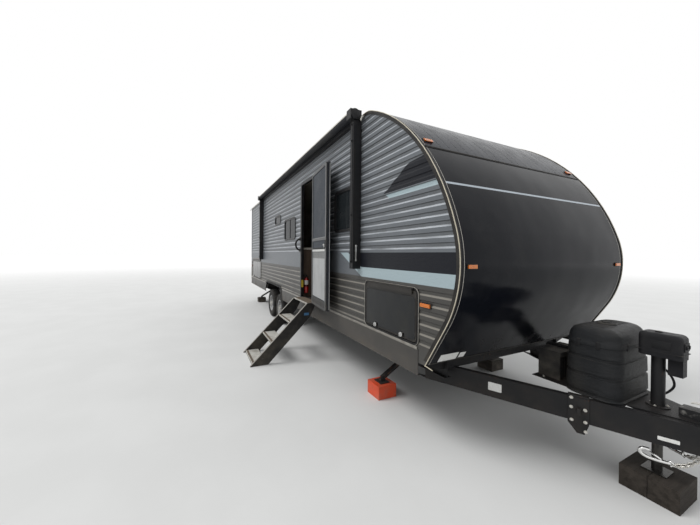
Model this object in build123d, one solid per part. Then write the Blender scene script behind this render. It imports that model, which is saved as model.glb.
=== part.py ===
"""Travel trailer parked on its jack, legs and steps, in millimetres.

The model is built with z = 0 on the ground and x = 0 at the hitch ball, nose towards +X, door side
at -Y, and is moved down at the end so that its origin is the centre of the coupler's ball socket.
"""
import os
from math import cos, pi, radians, sin, tan

from build123d import *

# hitch and stance
hitch_height = 500        # centre of the ball above the ground
ball_radius = 29.4        # socket for a 2 5/16 inch ball

# body shell
nose_x = -1053            # foremost point of the front
body_length = 9100
body_width = 2438
wall = 45                 # side and rear walls
shell = 50                # front and roof
floor_thick = 100
body_low = 730            # underside of the body
nose_z = 1575             # height of the foremost point
roof_top = 3238
chin_heading = 59         # slope of the straight under the nose, degrees from level
chin_radius = 941
brow_start = 106          # headings where the brow and the crown begin, degrees
crown_start = 155
crown_radius = 360

rear_x = nose_x - body_length

# siding
rib_pitch = 84
rib_depth = 7
rib_flat = 36
rib_shoulder = 16         # the slope that faces up, under each rib's groove
rib_slope = 6             # the slope that faces down
skirt_low = 620
skirt_top = 850
skirt_thick = 5
belt_low = 1394           # smooth belt that carries the stripes
belt_top = 1660
trim_thick = 4
trim_width = 32
trim_return = 14          # width of the mouldings on the front, roof and rear

# openings in the door side: x rear, x front, z low, z top
door_x = (-4650, -3865)
door_z = (838, 2905)
bag_x = (-2350, -1500)
bag_z = (880, 1345)
hatch_inset = 300         # kitchen hatch, from the rear corner
hatch_length = 1400
hatch_x = (rear_x + hatch_inset, rear_x + hatch_inset + hatch_length)
hatch_z = (880, 1460)
corner = 45

# running gear
rail_inset = 359          # centre of each main beam inside the side of the body
rail_y = body_width / 2 - rail_inset
rail_height = 203
rail_flange = 75
web = 8
axle_x = (-6400, -7270)
tyre_radius = 350
tyre_width = 215
tyre_inset = 149
tyre_y = body_width / 2 - tyre_inset
rim_radius = 190
spindle_radius = 22
running = 0.05            # radial clearance of pins and spindles
arch_x = (-7760, -5910)
arch_top = 900

# tongue
frame_rail = 178          # depth of the drawbar channels
frame_top = 595
frame_half_angle = 25
jack_x = -410
jack_radius = 36
ram_radius = 28
block_height = 150

# doors
hinge_out = 17            # hinge line outside the wall
leaf_gap = 8
leaf_thick = 35
screen_gap = 6
screen_thick = 20
open_angle = 174
door_flange = 40          # width of the frame's outside flange
step_clear = 5
jamb = 12
sill = 4

half = body_width / 2
inner = half - wall
floor_top = body_low + floor_thick
wood_half = 150


def box(x, y, z):
    """Box from three (low, high) spans."""
    size = [max(span) - min(span) for span in (x, y, z)]
    return Pos(min(x), min(y), min(z)) * Box(*size, align=(Align.MIN, Align.MIN, Align.MIN))


def across(sketch, y0, y1):
    """Side-view sketch in x and z, as a solid from y0 to y1."""
    low, high = min(y0, y1), max(y0, y1)
    return extrude(Plane.XZ.offset(-high) * sketch, amount=high - low)


def along(sketch, x0, x1):
    """End-view sketch in y and z, as a solid from x0 to x1."""
    low, high = min(x0, x1), max(x0, x1)
    return extrude(Plane.YZ.offset(low) * sketch, amount=high - low)


def upward(sketch, z0, z1):
    """Plan sketch as a solid from z0 to z1."""
    return extrude(Pos(0, 0, z0) * sketch, amount=z1 - z0)


def pane(x, z, radius, grow=0):
    """Round-cornered rectangle in a side view, grown outwards by grow."""
    width = abs(x[1] - x[0]) + 2 * grow
    height = abs(z[1] - z[0]) + 2 * grow
    centre = Pos((x[0] + x[1]) / 2, (z[0] + z[1]) / 2)
    if radius + grow <= 0:
        return centre * Rectangle(width, height)
    return centre * RectangleRounded(width, height, radius + grow)


def rod(start, end, radius):
    """Round bar between two points."""
    first, last = Vector(*start), Vector(*end)
    axis = last - first
    return extrude(Plane(origin=first, z_dir=axis.normalized()) * Circle(radius), amount=axis.length)


def tube(start, end, outer, bore):
    return rod(start, end, outer) - rod(start, end, bore)


def polygon(*points):
    return make_face(Polyline(*points, close=True))


def joined(parts):
    parts = list(parts)
    solid = parts[0]
    for part in parts[1:]:
        solid = solid + part
    return solid


def turn_arc(start, heading, end_heading, radius):
    """Left-hand arc in a side view, from one heading to another in degrees."""
    def place(angle):
        across_part = sin(radians(angle)) - sin(radians(heading))
        up_part = cos(radians(heading)) - cos(radians(angle))
        return start[0] + radius * across_part, start[1] + radius * up_part
    middle, end = place((heading + end_heading) / 2), place(end_heading)
    return ThreePointArc(start, middle, end), end


def body_outline():
    """Side view of the shell: chin, nose, brow, crown, roof, rear and underside."""
    chin_rise = chin_radius * cos(radians(chin_heading))
    chin_start = (nose_x - chin_radius * (1 - sin(radians(chin_heading))), nose_z - chin_rise)
    drop = chin_start[1] - body_low
    low_corner = (chin_start[0] - drop / tan(radians(chin_heading)), body_low)
    nose_rise = -chin_radius * cos(radians(brow_start))
    crown_rise = crown_radius * (cos(radians(crown_start)) + 1)
    brow_span = cos(radians(brow_start)) - cos(radians(crown_start))
    brow_radius = (roof_top - nose_z - nose_rise - crown_rise) / brow_span
    nose, brow_point = turn_arc(chin_start, chin_heading, brow_start, chin_radius)
    brow, crown_point = turn_arc(brow_point, brow_start, crown_start, brow_radius)
    crown, roof_point = turn_arc(crown_point, crown_start, 180, crown_radius)
    rear_top, rear_low = (rear_x, roof_top), (rear_x, body_low)
    edges = [Line(low_corner, chin_start), nose, brow, crown, Line(roof_point, rear_top),
             Line(rear_top, rear_low), Line(rear_low, low_corner)]
    return make_face(Wire(edges)), roof_point[0], low_corner[0]


outline, roof_start, chin_x = body_outline()
prism = across(outline, -inner, inner)
inside = across(offset(outline, -shell, kind=Kind.INTERSECTION), -inner, inner)


def rib_line(z_low, z_top):
    """Outline points of the siding's ribs, from z_low to z_top, as (depth below the face, z)."""
    points = []
    z = z_low
    while z + rib_pitch <= z_top:
        edges = ((0, rib_flat), (rib_depth, rib_flat + rib_shoulder), (rib_depth, rib_pitch - rib_slope),
                 (0, rib_pitch))
        points += [(depth, z + step) for depth, step in edges]
        z += rib_pitch
    return points


def siding_section(reach, thick):
    """End view of a wall: flat inside, ribbed outside above and below the smooth belt."""
    ribs = rib_line(skirt_top, belt_low) + rib_line(belt_top, roof_top - rib_pitch / 2)
    outside = [(0, body_low)] + ribs + [(0, roof_top)]
    points = [(reach - depth, z) for depth, z in outside]
    return points + [(reach - thick, roof_top), (reach - thick, body_low)]


# windows: side of the trailer, x rear, x front, z low, z top
windows = (
    (-1, -3180, -2620, 1955, 2463),
    (-1, -5770, -5020, 1950, 2355),
    (-1, -6650, -6150, 2350, 2525),
    (1, -3180, -2620, 1955, 2463),
    (1, -6100, -4700, 1700, 2430),
    (1, -8900, -8140, 1950, 2430),
)
pane_radius = 60
frame_lip = 22
frame_inner = 12


def arch_sketch(grow=0):
    """Wheel opening: long at the bottom, with sloped and rounded ends."""
    low, high = skirt_low - 50, arch_top + grow
    x0, x1 = arch_x[0] - grow, arch_x[1] + grow
    lean = 170
    shape = polygon((x0, low), (x1, low), (x1 - lean, high), (x0 + lean, high))
    return fillet(shape.vertices().filter_by(lambda v: v.Z > high - 1 or v.Y > high - 1), 110)


def doorway(grow=0):
    """Entry opening in a side view: round top corners and square foot."""
    head = pane(door_x, door_z, corner, grow)
    return head + pane(door_x, (door_z[0], door_z[0] + 2 * corner), 0, grow)


def side_wall(side):
    """Ribbed side wall over the whole side view, with its openings cut."""
    section = polygon(*[(side * y, z) for y, z in siding_section(half, wall)])
    solid = along(section, rear_x, nose_x) & across(outline, side * inner, side * half)
    for place, *spans in windows:
        if place == side:
            solid -= across(pane(spans[:2], spans[2:], pane_radius), side * (inner - 5), side * (half + 5))
    holes = [pane(bag_x, bag_z, corner)]
    if side < 0:
        holes += [doorway(), pane(hatch_x, hatch_z, corner)]
    for hole in holes:
        solid -= across(hole, side * (inner - 5), side * (half + 5))
    return solid - across(arch_sketch(), side * (inner - 5), side * (half + 5))


def shell_parts():
    """Floor, front, roof and rear between the side walls."""
    floor_block = box((rear_x + wall, nose_x), (-inner, inner), (body_low, floor_top))
    floor = floor_block & (Pos(-15, 0, 0) * prism)
    front = ((prism - inside) & box((roof_start, nose_x + 10), (-half, half), (body_low, roof_top))) - floor
    roof = box((rear_x, roof_start), (-inner, inner), (roof_top - shell, roof_top))
    rear_section = [(rear_x + depth, z) for depth, z in
                    [(0, body_low)] + rib_line(skirt_top, roof_top - shell - rib_pitch)
                    + [(0, roof_top - shell)]]
    rear_face = polygon(*rear_section, (rear_x + wall, roof_top - shell), (rear_x + wall, body_low))
    rear = across(rear_face, -inner, inner)
    for side in (-1, 1):
        wells = box((arch_x[0] + 20, arch_x[1] - 20), (side * (rail_y + 70), side * half),
                    (body_low - 5, floor_top + 5))
        floor -= wells
    return floor, front, roof, rear


parts = {}
floor, front, roof, rear = shell_parts()
parts["floor"] = floor
parts["front_cap"] = front
parts["roof"] = roof
parts["rear_wall"] = rear
parts["curb_wall"] = side_wall(-1)
parts["street_wall"] = side_wall(1)


def edge_trim():
    """Mouldings that cap the joint of the side walls with the front, roof and rear."""
    cap = offset(outline, trim_thick, kind=Kind.INTERSECTION)
    inset = offset(outline, -trim_width, kind=Kind.INTERSECTION)
    keep = box((rear_x - 20, nose_x + 20), (-half - 20, half + 20), (body_low + 40, roof_top + 20))
    pieces = []
    for side in (-1, 1):
        face = across(cap - inset, side * half, side * (half + trim_thick))
        edge = across(cap - outline, side * (half - trim_return), side * half)
        pieces.append((face + edge) & keep)
    return pieces


parts["edge_trim"] = joined(edge_trim())


def skirts():
    """Smooth lower panels along both sides, cut for the wheels."""
    x = (rear_x + trim_width + 4, chin_x - 80)
    pieces = []
    for side in (-1, 1):
        plate = across(pane(x, (skirt_low, skirt_top), 12), side * half, side * (half + skirt_thick))
        foot = box(x, (side * (half - 25), side * half), (skirt_low, skirt_low + 3))
        plate = plate + foot
        cut = across(arch_sketch(), side * (half - 60), side * (half + 60))
        if side < 0:
            cut += box((door_x[0] - door_flange - 5, door_x[1] + door_flange + 5), (-half - 60, -half),
                       (door_z[0] - 8, skirt_top + 5))
        pieces.append(plate - cut)
    return joined(pieces)


parts["skirts"] = skirts()


def wheel_wells():
    """Boxes let into the floor over the tyres, with a rim round each opening."""
    pieces = []
    for side in (-1, 1):
        x = (arch_x[0] + 20, arch_x[1] - 20)
        y = (side * (rail_y + 70), side * inner)
        outer_box = box(x, y, (body_low, floor_top + 70))
        hollow = box((x[0] + 15, x[1] - 15), (side * (rail_y + 85), side * half), (0, floor_top + 55))
        lip = across(arch_sketch(12) - arch_sketch(-22), side * (half + skirt_thick),
                     side * (half + skirt_thick + 8))
        lip -= box((rear_x, nose_x), (-half * 2, half * 2), (0, skirt_low))
        pieces += [outer_box - hollow, lip]
    return pieces


well_parts = wheel_wells()
parts["wheel_wells"] = joined(well_parts)


def window_parts():
    frames, glass = [], []
    for side, *spans in windows:
        x, z = spans[:2], spans[2:]
        flange = pane(x, z, pane_radius, frame_lip) - pane(x, z, pane_radius, -frame_inner)
        lining = pane(x, z, pane_radius) - pane(x, z, pane_radius, -frame_inner)
        frames.append(across(flange, side * half, side * (half + 7))
                      + across(lining, side * inner, side * half))
        light = pane(x, z, pane_radius, -frame_inner)
        glass.append(across(light, side * (half - 12), side * (half - 6)))
    return joined(frames), joined(glass)


parts["window_frames"], parts["window_glass"] = window_parts()

# entry door
hinge_x = door_x[1] + 6
hinge_y = -half - hinge_out
landing_thick = 20
platform_top = door_z[0] + sill + step_clear + landing_thick
leaf_x = (door_x[0] + leaf_gap + jamb, door_x[1] - leaf_gap - jamb)
leaf_z = (platform_top + 8, door_z[1] - jamb - leaf_gap)
leaf_out = -half - 3
knuckles = (leaf_z[0] + 150, (leaf_z[0] + leaf_z[1]) / 2, leaf_z[1] - 150)
screen_knuckles = (leaf_z[0] + 420, leaf_z[1] - 420)
knuckle_half = 40
opened = Location((hinge_x, hinge_y, 0)) * Rot(0, 0, open_angle) * Location((-hinge_x, -hinge_y, 0))


def knuckle_set(z_list, inner_y, leaf_edge):
    """Barrels round the hinge pin with straps to a leaf."""
    pieces = []
    for z in z_list:
        span = (z - knuckle_half, z + knuckle_half)
        strap = box((leaf_edge - 25, hinge_x), (hinge_y - 2, hinge_y + 3), span)
        arm = box((leaf_edge - 25, leaf_edge - 5), (hinge_y - 2, inner_y), span)
        barrel = rod((hinge_x, hinge_y, span[0]), (hinge_x, hinge_y, span[1]), 9)
        bore = rod((hinge_x, hinge_y, span[0] - 1), (hinge_x, hinge_y, span[1] + 1), 4 + running)
        pieces.append(strap + arm + barrel - bore)
    return joined(pieces)


def door_frame():
    """Jamb lining, outside flange, sill and hinge pins."""
    flange = doorway(door_flange) - doorway(-jamb)
    lining = doorway() - doorway(-jamb)
    frame = across(flange, -half, -half - 4) + across(lining, -inner, -half)
    frame -= box((door_x[0] - door_flange - 5, door_x[1] + door_flange + 5), (-half - 10, -half),
                 (0, door_z[0]))
    frame -= box((door_x[0] + jamb, door_x[1] - jamb), (-half - 10, -inner + 10),
                 (door_z[0] + sill, door_z[0] + jamb + 1))
    for z in knuckles + screen_knuckles:
        for shift in (-knuckle_half - 16, knuckle_half + 2):
            lug = (z + shift, z + shift + 14)
            frame += box((hinge_x - 2, hinge_x + 12), (hinge_y, -half), lug)
            frame += rod((hinge_x, hinge_y, lug[0]), (hinge_x, hinge_y, lug[1]), 8)
        frame += rod((hinge_x, hinge_y, z - knuckle_half - 10), (hinge_x, hinge_y, z + knuckle_half + 10), 4)
    return frame


door_light = ((leaf_x[0] + 130, leaf_x[1] - 130), (1900, 2500))
lock_z = 1870


def entry_door():
    """Insulated leaf with its window hole and lock, closed; it is swung open when saved."""
    leaf = across(pane(leaf_x, leaf_z, 30), leaf_out, leaf_out + leaf_thick)
    leaf -= across(pane(*door_light, 40), leaf_out - 5, leaf_out + leaf_thick + 5)
    lock = box((leaf_x[0] + 18, leaf_x[0] + 95), (leaf_out - 12, leaf_out), (lock_z - 60, lock_z + 60))
    for z in screen_knuckles:
        leaf -= box((leaf_x[1] - 36, leaf_x[1] + 1), (leaf_out - 1, leaf_out + leaf_thick + 1),
                    (z - knuckle_half - 6, z + knuckle_half + 6))
    return leaf + lock + knuckle_set(knuckles, leaf_out + 6, leaf_x[1])


def entry_glass():
    return across(pane(*door_light, 40), leaf_out + 12, leaf_out + 18)


screen_y = (leaf_out + leaf_thick + screen_gap, leaf_out + leaf_thick + screen_gap + screen_thick)
screen_z = (leaf_z[0] + 8, leaf_z[1] - 8)
bar_z = (leaf_z[0] + 130, 1700, 1860)


def screen_door():
    """Light aluminium frame with a kick panel and two middle bars."""
    x, z = (leaf_x[0] + 8, leaf_x[1] - 8), screen_z
    ring = pane(x, z, 24) - pane((x[0] + 38, x[1] - 38), (z[0] + 38, z[1] - 38), 0)
    frame = across(ring, *screen_y)
    for low, high in ((z[0] + 30, bar_z[0]), (bar_z[1] - 20, bar_z[1] + 20), (bar_z[2] - 20, bar_z[2] + 20)):
        frame += box((x[0] + 30, x[1] - 30), screen_y, (low, high))
    return frame + knuckle_set(screen_knuckles, screen_y[0] + 6, leaf_x[1])


def screen_mesh():
    x = (leaf_x[0] + 46, leaf_x[1] - 46)
    middle = (screen_y[0] + screen_y[1]) / 2
    spans = ((bar_z[0], bar_z[1] - 20), (bar_z[1] + 20, bar_z[2] - 20), (bar_z[2] + 20, screen_z[1] - 38))
    return joined([box(x, (middle - 1, middle + 1), span) for span in spans])


parts["door_frame"] = door_frame()
parts["entry_door"] = opened * entry_door()
parts["entry_glass"] = opened * entry_glass()
parts["screen_door"] = opened * screen_door()
parts["screen_mesh"] = opened * screen_mesh()


# folding steps
step_hinge = (-half + 90, floor_top + 38)
step_x = (door_x[0] + 30, door_x[1] - 30)
tread_rise = 215
tread_thick = 30
tread_nose = 110          # a tread reaches this far out of the stringers' top edge
tread_back = 100
stringer = 35
landing_reach = 140       # outer edge of the landing, outside the wall
stringer_fall = 30        # the lower edge's drop below the 45 degree line through the hinge
sill_reach = 20           # where the stringers pass under the sill, outside the wall
sill_depth = 45


def fold_steps():
    """Two stringers with a landing and three treads, hinged on the floor inside the doorway."""
    y_pin, z_pin = step_hinge
    low = platform_top - landing_thick
    edge = -half - landing_reach
    knee = y_pin - 200
    pieces = []
    for x in (step_x[0], step_x[1] - stringer):
        landing = polygon((y_pin + 14, low), (y_pin + 14, platform_top), (edge, platform_top),
                          (edge - platform_top, 0), (y_pin - z_pin + stringer_fall, 0),
                          (knee, z_pin + knee - y_pin - stringer_fall),
                          (-half - sill_reach, low - sill_depth), (-half - sill_reach, low))
        pieces.append(along(landing, x, x + stringer))
    inside_x = (step_x[0] + stringer, step_x[1] - stringer)
    pieces.append(box(inside_x, (y_pin - 30, edge - 20), (low, platform_top)))
    for number in (1, 2, 3):
        top = platform_top - number * tread_rise
        outer_edge = edge - number * tread_rise
        pieces.append(box(inside_x, (outer_edge - tread_nose, outer_edge + tread_back),
                          (top - tread_thick, top)))
    solid = joined(pieces)
    bore = rod((step_x[0] - 5, y_pin, z_pin), (step_x[1] + 5, y_pin, z_pin), 8 + running)
    eye = tube((step_x[0], y_pin, z_pin), (step_x[0] + stringer, y_pin, z_pin), 15, 8 + running)
    other = tube((step_x[1] - stringer, y_pin, z_pin), (step_x[1], y_pin, z_pin), 15, 8 + running)
    return solid - bore + eye + other


def step_bracket():
    """Floor plates and the hinge pin of the steps."""
    y_pin, z_pin = step_hinge
    pieces = [rod((step_x[0] - 10, y_pin, z_pin), (step_x[1] + 10, y_pin, z_pin), 8)]
    for x in ((step_x[0] - 16, step_x[0] - 6), (step_x[1] + 6, step_x[1] + 16)):
        pieces.append(box(x, (y_pin - 18, y_pin + 18), (floor_top, z_pin + 12)))
    return joined(pieces)


parts["steps"] = fold_steps()
parts["step_bracket"] = step_bracket()


# top-hinged hatches: node, side, x span, z span
hatches = (
    ("curb_baggage_door", -1, bag_x, bag_z),
    ("street_baggage_door", 1, bag_x, bag_z),
    ("kitchen_hatch", -1, hatch_x, hatch_z),
)
hatch_out = 14            # hinge line outside the wall
hatch_leaf = 40
hatch_flange = 22
pin_rise = 8              # hinge pin above the opening
pin_radius = 3
barrel_radius = 6
lug_inset = 40
lug_length = 14
latch_inset = 210         # from each end of the leaf
latch_size = (56, 10, 40)


def hatch_parts(side, x, z):
    """Frame flange with its hinge pin, and the leaf with barrel, latches and rim."""
    z_pin = z[1] + pin_rise
    y_pin = side * (half + hatch_out)
    flange = across(pane(x, z, corner, hatch_flange) - pane(x, z, corner), side * half, side * (half + 4))
    ends = []
    for x0 in (x[0] + lug_inset, x[1] - lug_inset - lug_length):
        ends.append(box((x0, x0 + lug_length), (side * half, y_pin),
                        (z_pin - barrel_radius, z_pin + barrel_radius)))
    pin = rod((x[0] + lug_inset + 5, y_pin, z_pin), (x[1] - lug_inset - 5, y_pin, z_pin), pin_radius)
    frame = flange + joined(ends) + pin
    face = side * (half + 3)
    back = side * (half + 3 - hatch_leaf)
    leaf = across(pane(x, z, corner, -leaf_gap), back, face)
    barrel_x = (x[0] + lug_inset + 20, x[1] - lug_inset - 20)
    strap_low = z[1] - 40
    leaf += box(barrel_x, (face, y_pin), (strap_low, z[1] - leaf_gap - 2))
    leaf += box(barrel_x, (y_pin - 2, y_pin + 2), (strap_low, z_pin))
    leaf += rod((barrel_x[0], y_pin, z_pin), (barrel_x[1], y_pin, z_pin), barrel_radius)
    leaf -= rod((barrel_x[0] - 1, y_pin, z_pin), (barrel_x[1] + 1, y_pin, z_pin), pin_radius + running)
    length, depth, height = latch_size
    for x0 in (x[0] + latch_inset, x[1] - latch_inset):
        low = z[0] + leaf_gap + 7
        leaf += box((x0 - length / 2, x0 + length / 2), (face, face + side * depth), (low, low + height))
    return frame, leaf


hatch_frames = []
for node, side, x, z in hatches:
    frame, leaf = hatch_parts(side, x, z)
    hatch_frames.append(frame)
    parts[node] = leaf
parts["hatch_frames"] = joined(hatch_frames)


# chassis
rail_front = -1500
rail_low = body_low - rail_height
cross_pitch = 1200
cross_thick = 50
crossmembers = ([rail_front - 60 - number * cross_pitch for number in range(4)]
                + [arch_x[1] + 50, arch_x[0] - 40, arch_x[0] - 40 - cross_pitch, rear_x + 70])
rig_thick = 40
rig_edge = 30             # outriggers end this far inside the wall's face
rig_tip = 40              # height of an outrigger at its tip
leg_x = (-2420, rear_x + 450)
leg_pivot_y = 430
leg_pin_radius = 10
leg_tube = 60             # depth of the cross tube that carries two legs
leg_foot_y = 950
leg_block = 150


def beam_section(y, low, high):
    """I-beam section centred on y."""
    return (Pos(y, (low + high) / 2) * Rectangle(web, high - low)
            + Pos(y, low + web / 2) * Rectangle(rail_flange, web)
            + Pos(y, high - web / 2) * Rectangle(rail_flange, web))


def chassis():
    """The two main beams."""
    return joined([along(beam_section(side * rail_y, rail_low, body_low), rear_x + 30, rail_front)
                   for side in (-1, 1)])


def outrigger(side, x):
    """Bracket from a beam's web to the edge of the floor, notched under the beam's top flange."""
    web_face, flange_edge, tip = rail_y + web / 2, rail_y + rail_flange / 2, half - rig_edge
    shape = polygon((side * web_face, frame_top), (side * tip, body_low - rig_tip), (side * tip, body_low),
                    (side * flange_edge, body_low), (side * flange_edge, body_low - web),
                    (side * web_face, body_low - web))
    return along(shape, x - rig_thick / 2, x + rig_thick / 2)


def leg_tube_parts(x):
    """Cross tube under the beams that carries two legs on its pins."""
    low = rail_low - leg_tube
    tube_reach = rail_y + 90
    tube_x = (x + 32, x + 82)
    bar = box(tube_x, (-tube_reach, tube_reach), (low, rail_low))
    pins = [rod((x - 28, side * leg_pivot_y, low + 20), (tube_x[0], side * leg_pivot_y, low + 20),
                leg_pin_radius) for side in (-1, 1)]
    return joined([bar] + pins)


def crossmember_parts():
    """Members between the beams, outriggers to the floor's edges and the tubes that carry the legs."""
    web_face = rail_y - web / 2
    members = [leg_tube_parts(x) for x in leg_x]
    for x in crossmembers:
        members.append(box((x - cross_thick / 2, x + cross_thick / 2), (-web_face, web_face),
                           (frame_top, body_low - web)))
        members += [outrigger(side, x) for side in (-1, 1)]
    return joined(members)


parts["chassis"] = chassis()
parts["crossmembers"] = crossmember_parts()


# gas-bottle cover and battery box, on a tray over the drawbar
cover_x = (-880, -515)
cover_width = 590
cover_height = 516
cover_wall = 6
battery_x = (-1110, -940)
tray_thick = 4
jack_plate = 8
plate_end = cover_x[1] + 10


apex_x = -60              # where the two channels meet
channel_width = 50
channel_web = 8
plate_front = -100
plate_nose = 45           # half widths of the jack plate at its front and back
plate_back = 190
tray_half = 240


def a_frame():
    """Drawbar: two channels that meet at the coupler, with a jack plate and a tray."""
    run = tan(radians(frame_half_angle))
    slant = cos(radians(frame_half_angle))
    reach = rail_y - web / 2
    back_x = apex_x - reach / run
    width, hollow = channel_width / slant / run, (channel_width - channel_web) / slant / run
    low = frame_top - frame_rail
    pieces = []
    for side in (-1, 1):
        plan = polygon((apex_x, 0), (back_x, side * reach), (back_x + width, side * reach), (apex_x + width, 0))
        bar = upward(plan, low, frame_top)
        inner_cut = polygon((apex_x - 40, 0), (back_x - 40, side * reach), (back_x + hollow, side * reach),
                            (apex_x + hollow, 0))
        pieces.append(bar - upward(inner_cut, low + channel_web, frame_top - channel_web))
    frame = joined(pieces) - box((apex_x - 20, apex_x + 2 * channel_width + width), (-reach, reach),
                                 (low - 1, frame_top + 1))
    plate = upward(polygon((plate_front, -plate_nose), (plate_front, plate_nose), (plate_end, plate_back),
                           (plate_end, -plate_back)), frame_top, frame_top + jack_plate)
    tray = box((battery_x[0] - 15, plate_end - 5), (-tray_half, tray_half), (frame_top, frame_top + tray_thick))
    hole = rod((jack_x, 0, low), (jack_x, 0, frame_top + 2 * jack_plate), jack_radius + running)
    return frame + plate + tray - hole - parts["chassis"] - parts["crossmembers"]


parts["a_frame"] = a_frame()


def coupler():
    """Pressed housing with the ball socket and its latch."""
    body = polygon((-300, frame_top), (-300, frame_top + 60), (-150, frame_top + 70), (-20, frame_top + 10),
                   (30, hitch_height + 70), (52, hitch_height + 30), (52, hitch_height - 22),
                   (-76, hitch_height - 22), (-76, frame_top))
    solid = across(body, -46, 46)
    solid = solid - box((-400, -78), (-60, 60), (0, frame_top + 8))
    socket = rod((0, 0, hitch_height - 40), (0, 0, hitch_height), ball_radius)
    socket += Pos(0, 0, hitch_height) * Sphere(ball_radius)
    latch = box((-150, -60), (-10, 10), (frame_top + 40, frame_top + 95))
    return solid + latch - socket


parts["coupler"] = coupler()


head_x = (jack_x - 90, jack_x + 130)
head_half = 75
head_low = 960
head_height = 160
plug_x = (jack_x + 55, jack_x + 125)
plug_half = 35
plug_height = 115
flange_radius = 60
flange_thick = 8
column_low = frame_top - 190
foot_half = 65
foot_thick = 8
lead_radius = 7
gland_radius = 10
gland_height = 12
grommet_height = 6
flange_top = frame_top + jack_plate + flange_thick

# the jack's lead hangs from the head's gland in one slack bow behind the column, to a grommet in the flange:
# sideways distance and height of its points
lead_start = (jack_x - 16, 44)
lead_way = (0.882, 0.472)
lead_bow = ((0, head_low - gland_height), (0, 890), (60, 830), (88, 755), (60, 702), (14, 662),
            (14, flange_top + grommet_height))


def lead_point(sideways, z):
    return lead_start[0] + sideways * lead_way[0], lead_start[1] + sideways * lead_way[1], z


def soft_bends(points):
    """Largest bend at each inner point of a lead that its two runs allow."""
    bends = []
    for before, point, after in zip(points, points[1:], points[2:]):
        first = Vector(*point) - Vector(*before)
        second = Vector(*after) - Vector(*point)
        half_turn = radians(first.get_angle(second) / 2)
        bends.append(0.45 * min(first.length, second.length) / tan(half_turn))
    return bends


def jack():
    """Power jack: column through the plate, head with its motor, ram with its foot."""
    flange_low = frame_top + jack_plate
    column = tube((jack_x, 0, column_low), (jack_x, 0, head_low), jack_radius, ram_radius + running)
    flange = tube((jack_x, 0, flange_low), (jack_x, 0, flange_top), flange_radius, jack_radius - 1)
    lead_end = lead_point(*lead_bow[-1])
    flange += rod((*lead_end[:2], flange_top), lead_end, gland_radius)
    head = box(head_x, (-head_half, head_half), (head_low, head_low + head_height))
    head = fillet(head.edges().filter_by(Axis.Z), 40)
    head = fillet(head.faces().sort_by(Axis.Z)[-1].edges(), 30)
    plug = box(plug_x, (-plug_half, plug_half), (head_low - plug_height, head_low))
    gland = rod(lead_point(*lead_bow[0]), (*lead_start, head_low), gland_radius)
    ram = rod((jack_x, 0, block_height + foot_thick), (jack_x, 0, frame_top + 100), ram_radius)
    foot = box((jack_x - foot_half, jack_x + foot_half), (-foot_half, foot_half),
               (block_height, block_height + foot_thick))
    return column + flange, head + plug + gland, ram + foot


def jack_lead():
    """The lead from the jack's head down to the flange."""
    points = [lead_point(*place) for place in lead_bow]
    bends = soft_bends(points)
    print("lead bends", [round(bend) for bend in bends])
    path = FilletPolyline(*points, radius=bends)
    lead = sweep(Plane(origin=path @ 0, z_dir=path % 0) * Circle(lead_radius), path=path)
    print("lead length", round(path.length), "by volume", round(lead.volume / (pi * lead_radius ** 2)))
    return lead


parts["jack_column"], parts["jack_head"], parts["jack_ram"] = jack()
parts["jack_cable"] = jack_lead()

# blocks that the trailer stands on, fixed under the tongue and the legs
parts["tongue_block"] = box((jack_x - wood_half, jack_x + wood_half), (-wood_half, wood_half),
                            (0, block_height))
parts["leg_blocks"] = joined([box((x - 120, x + 120), (side * (leg_foot_y - 120), side * (leg_foot_y + 120)),
                                  (0, leg_block)) for x in leg_x for side in (-1, 1)])


def leg(x, side):
    """Stabiliser leg from its pin to the foot on its block."""
    z_pin = rail_low - leg_tube + 20
    y_pin = side * leg_pivot_y
    y_foot = side * leg_foot_y
    z_foot = leg_block + 10
    slope = Vector(0, y_foot - y_pin, z_foot + 30 - z_pin).normalized()
    normal = Vector(0, -slope.Z, slope.Y) * 22
    first = Vector(0, y_pin, z_pin) - slope * 15
    last = Vector(0, y_foot, z_foot + 30)
    bar = polygon((first.Y + normal.Y, first.Z + normal.Z), (last.Y + normal.Y, last.Z + normal.Z),
                  (last.Y - normal.Y, last.Z - normal.Z), (first.Y - normal.Y, first.Z - normal.Z))
    arm = along(bar, x - 22, x + 22)
    foot = box((x - 70, x + 70), (y_foot - 60, y_foot + 60), (leg_block, z_foot))
    ankle = box((x - 22, x + 22), (y_foot - 25, y_foot + 25), (z_foot, z_foot + 30))
    bore = rod((x - 30, y_pin, z_pin), (x + 30, y_pin, z_pin), leg_pin_radius + running)
    eye = rod((x - 22, y_pin, z_pin), (x + 22, y_pin, z_pin), 24)
    return arm + foot + ankle + eye - bore


for x, end in zip(leg_x, ("front", "rear")):
    for side, name in ((-1, "curb"), (1, "street")):
        parts[f"leg_{end}_{name}"] = leg(x, side)


# axles and wheels
hub_low = tyre_y - 100


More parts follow.
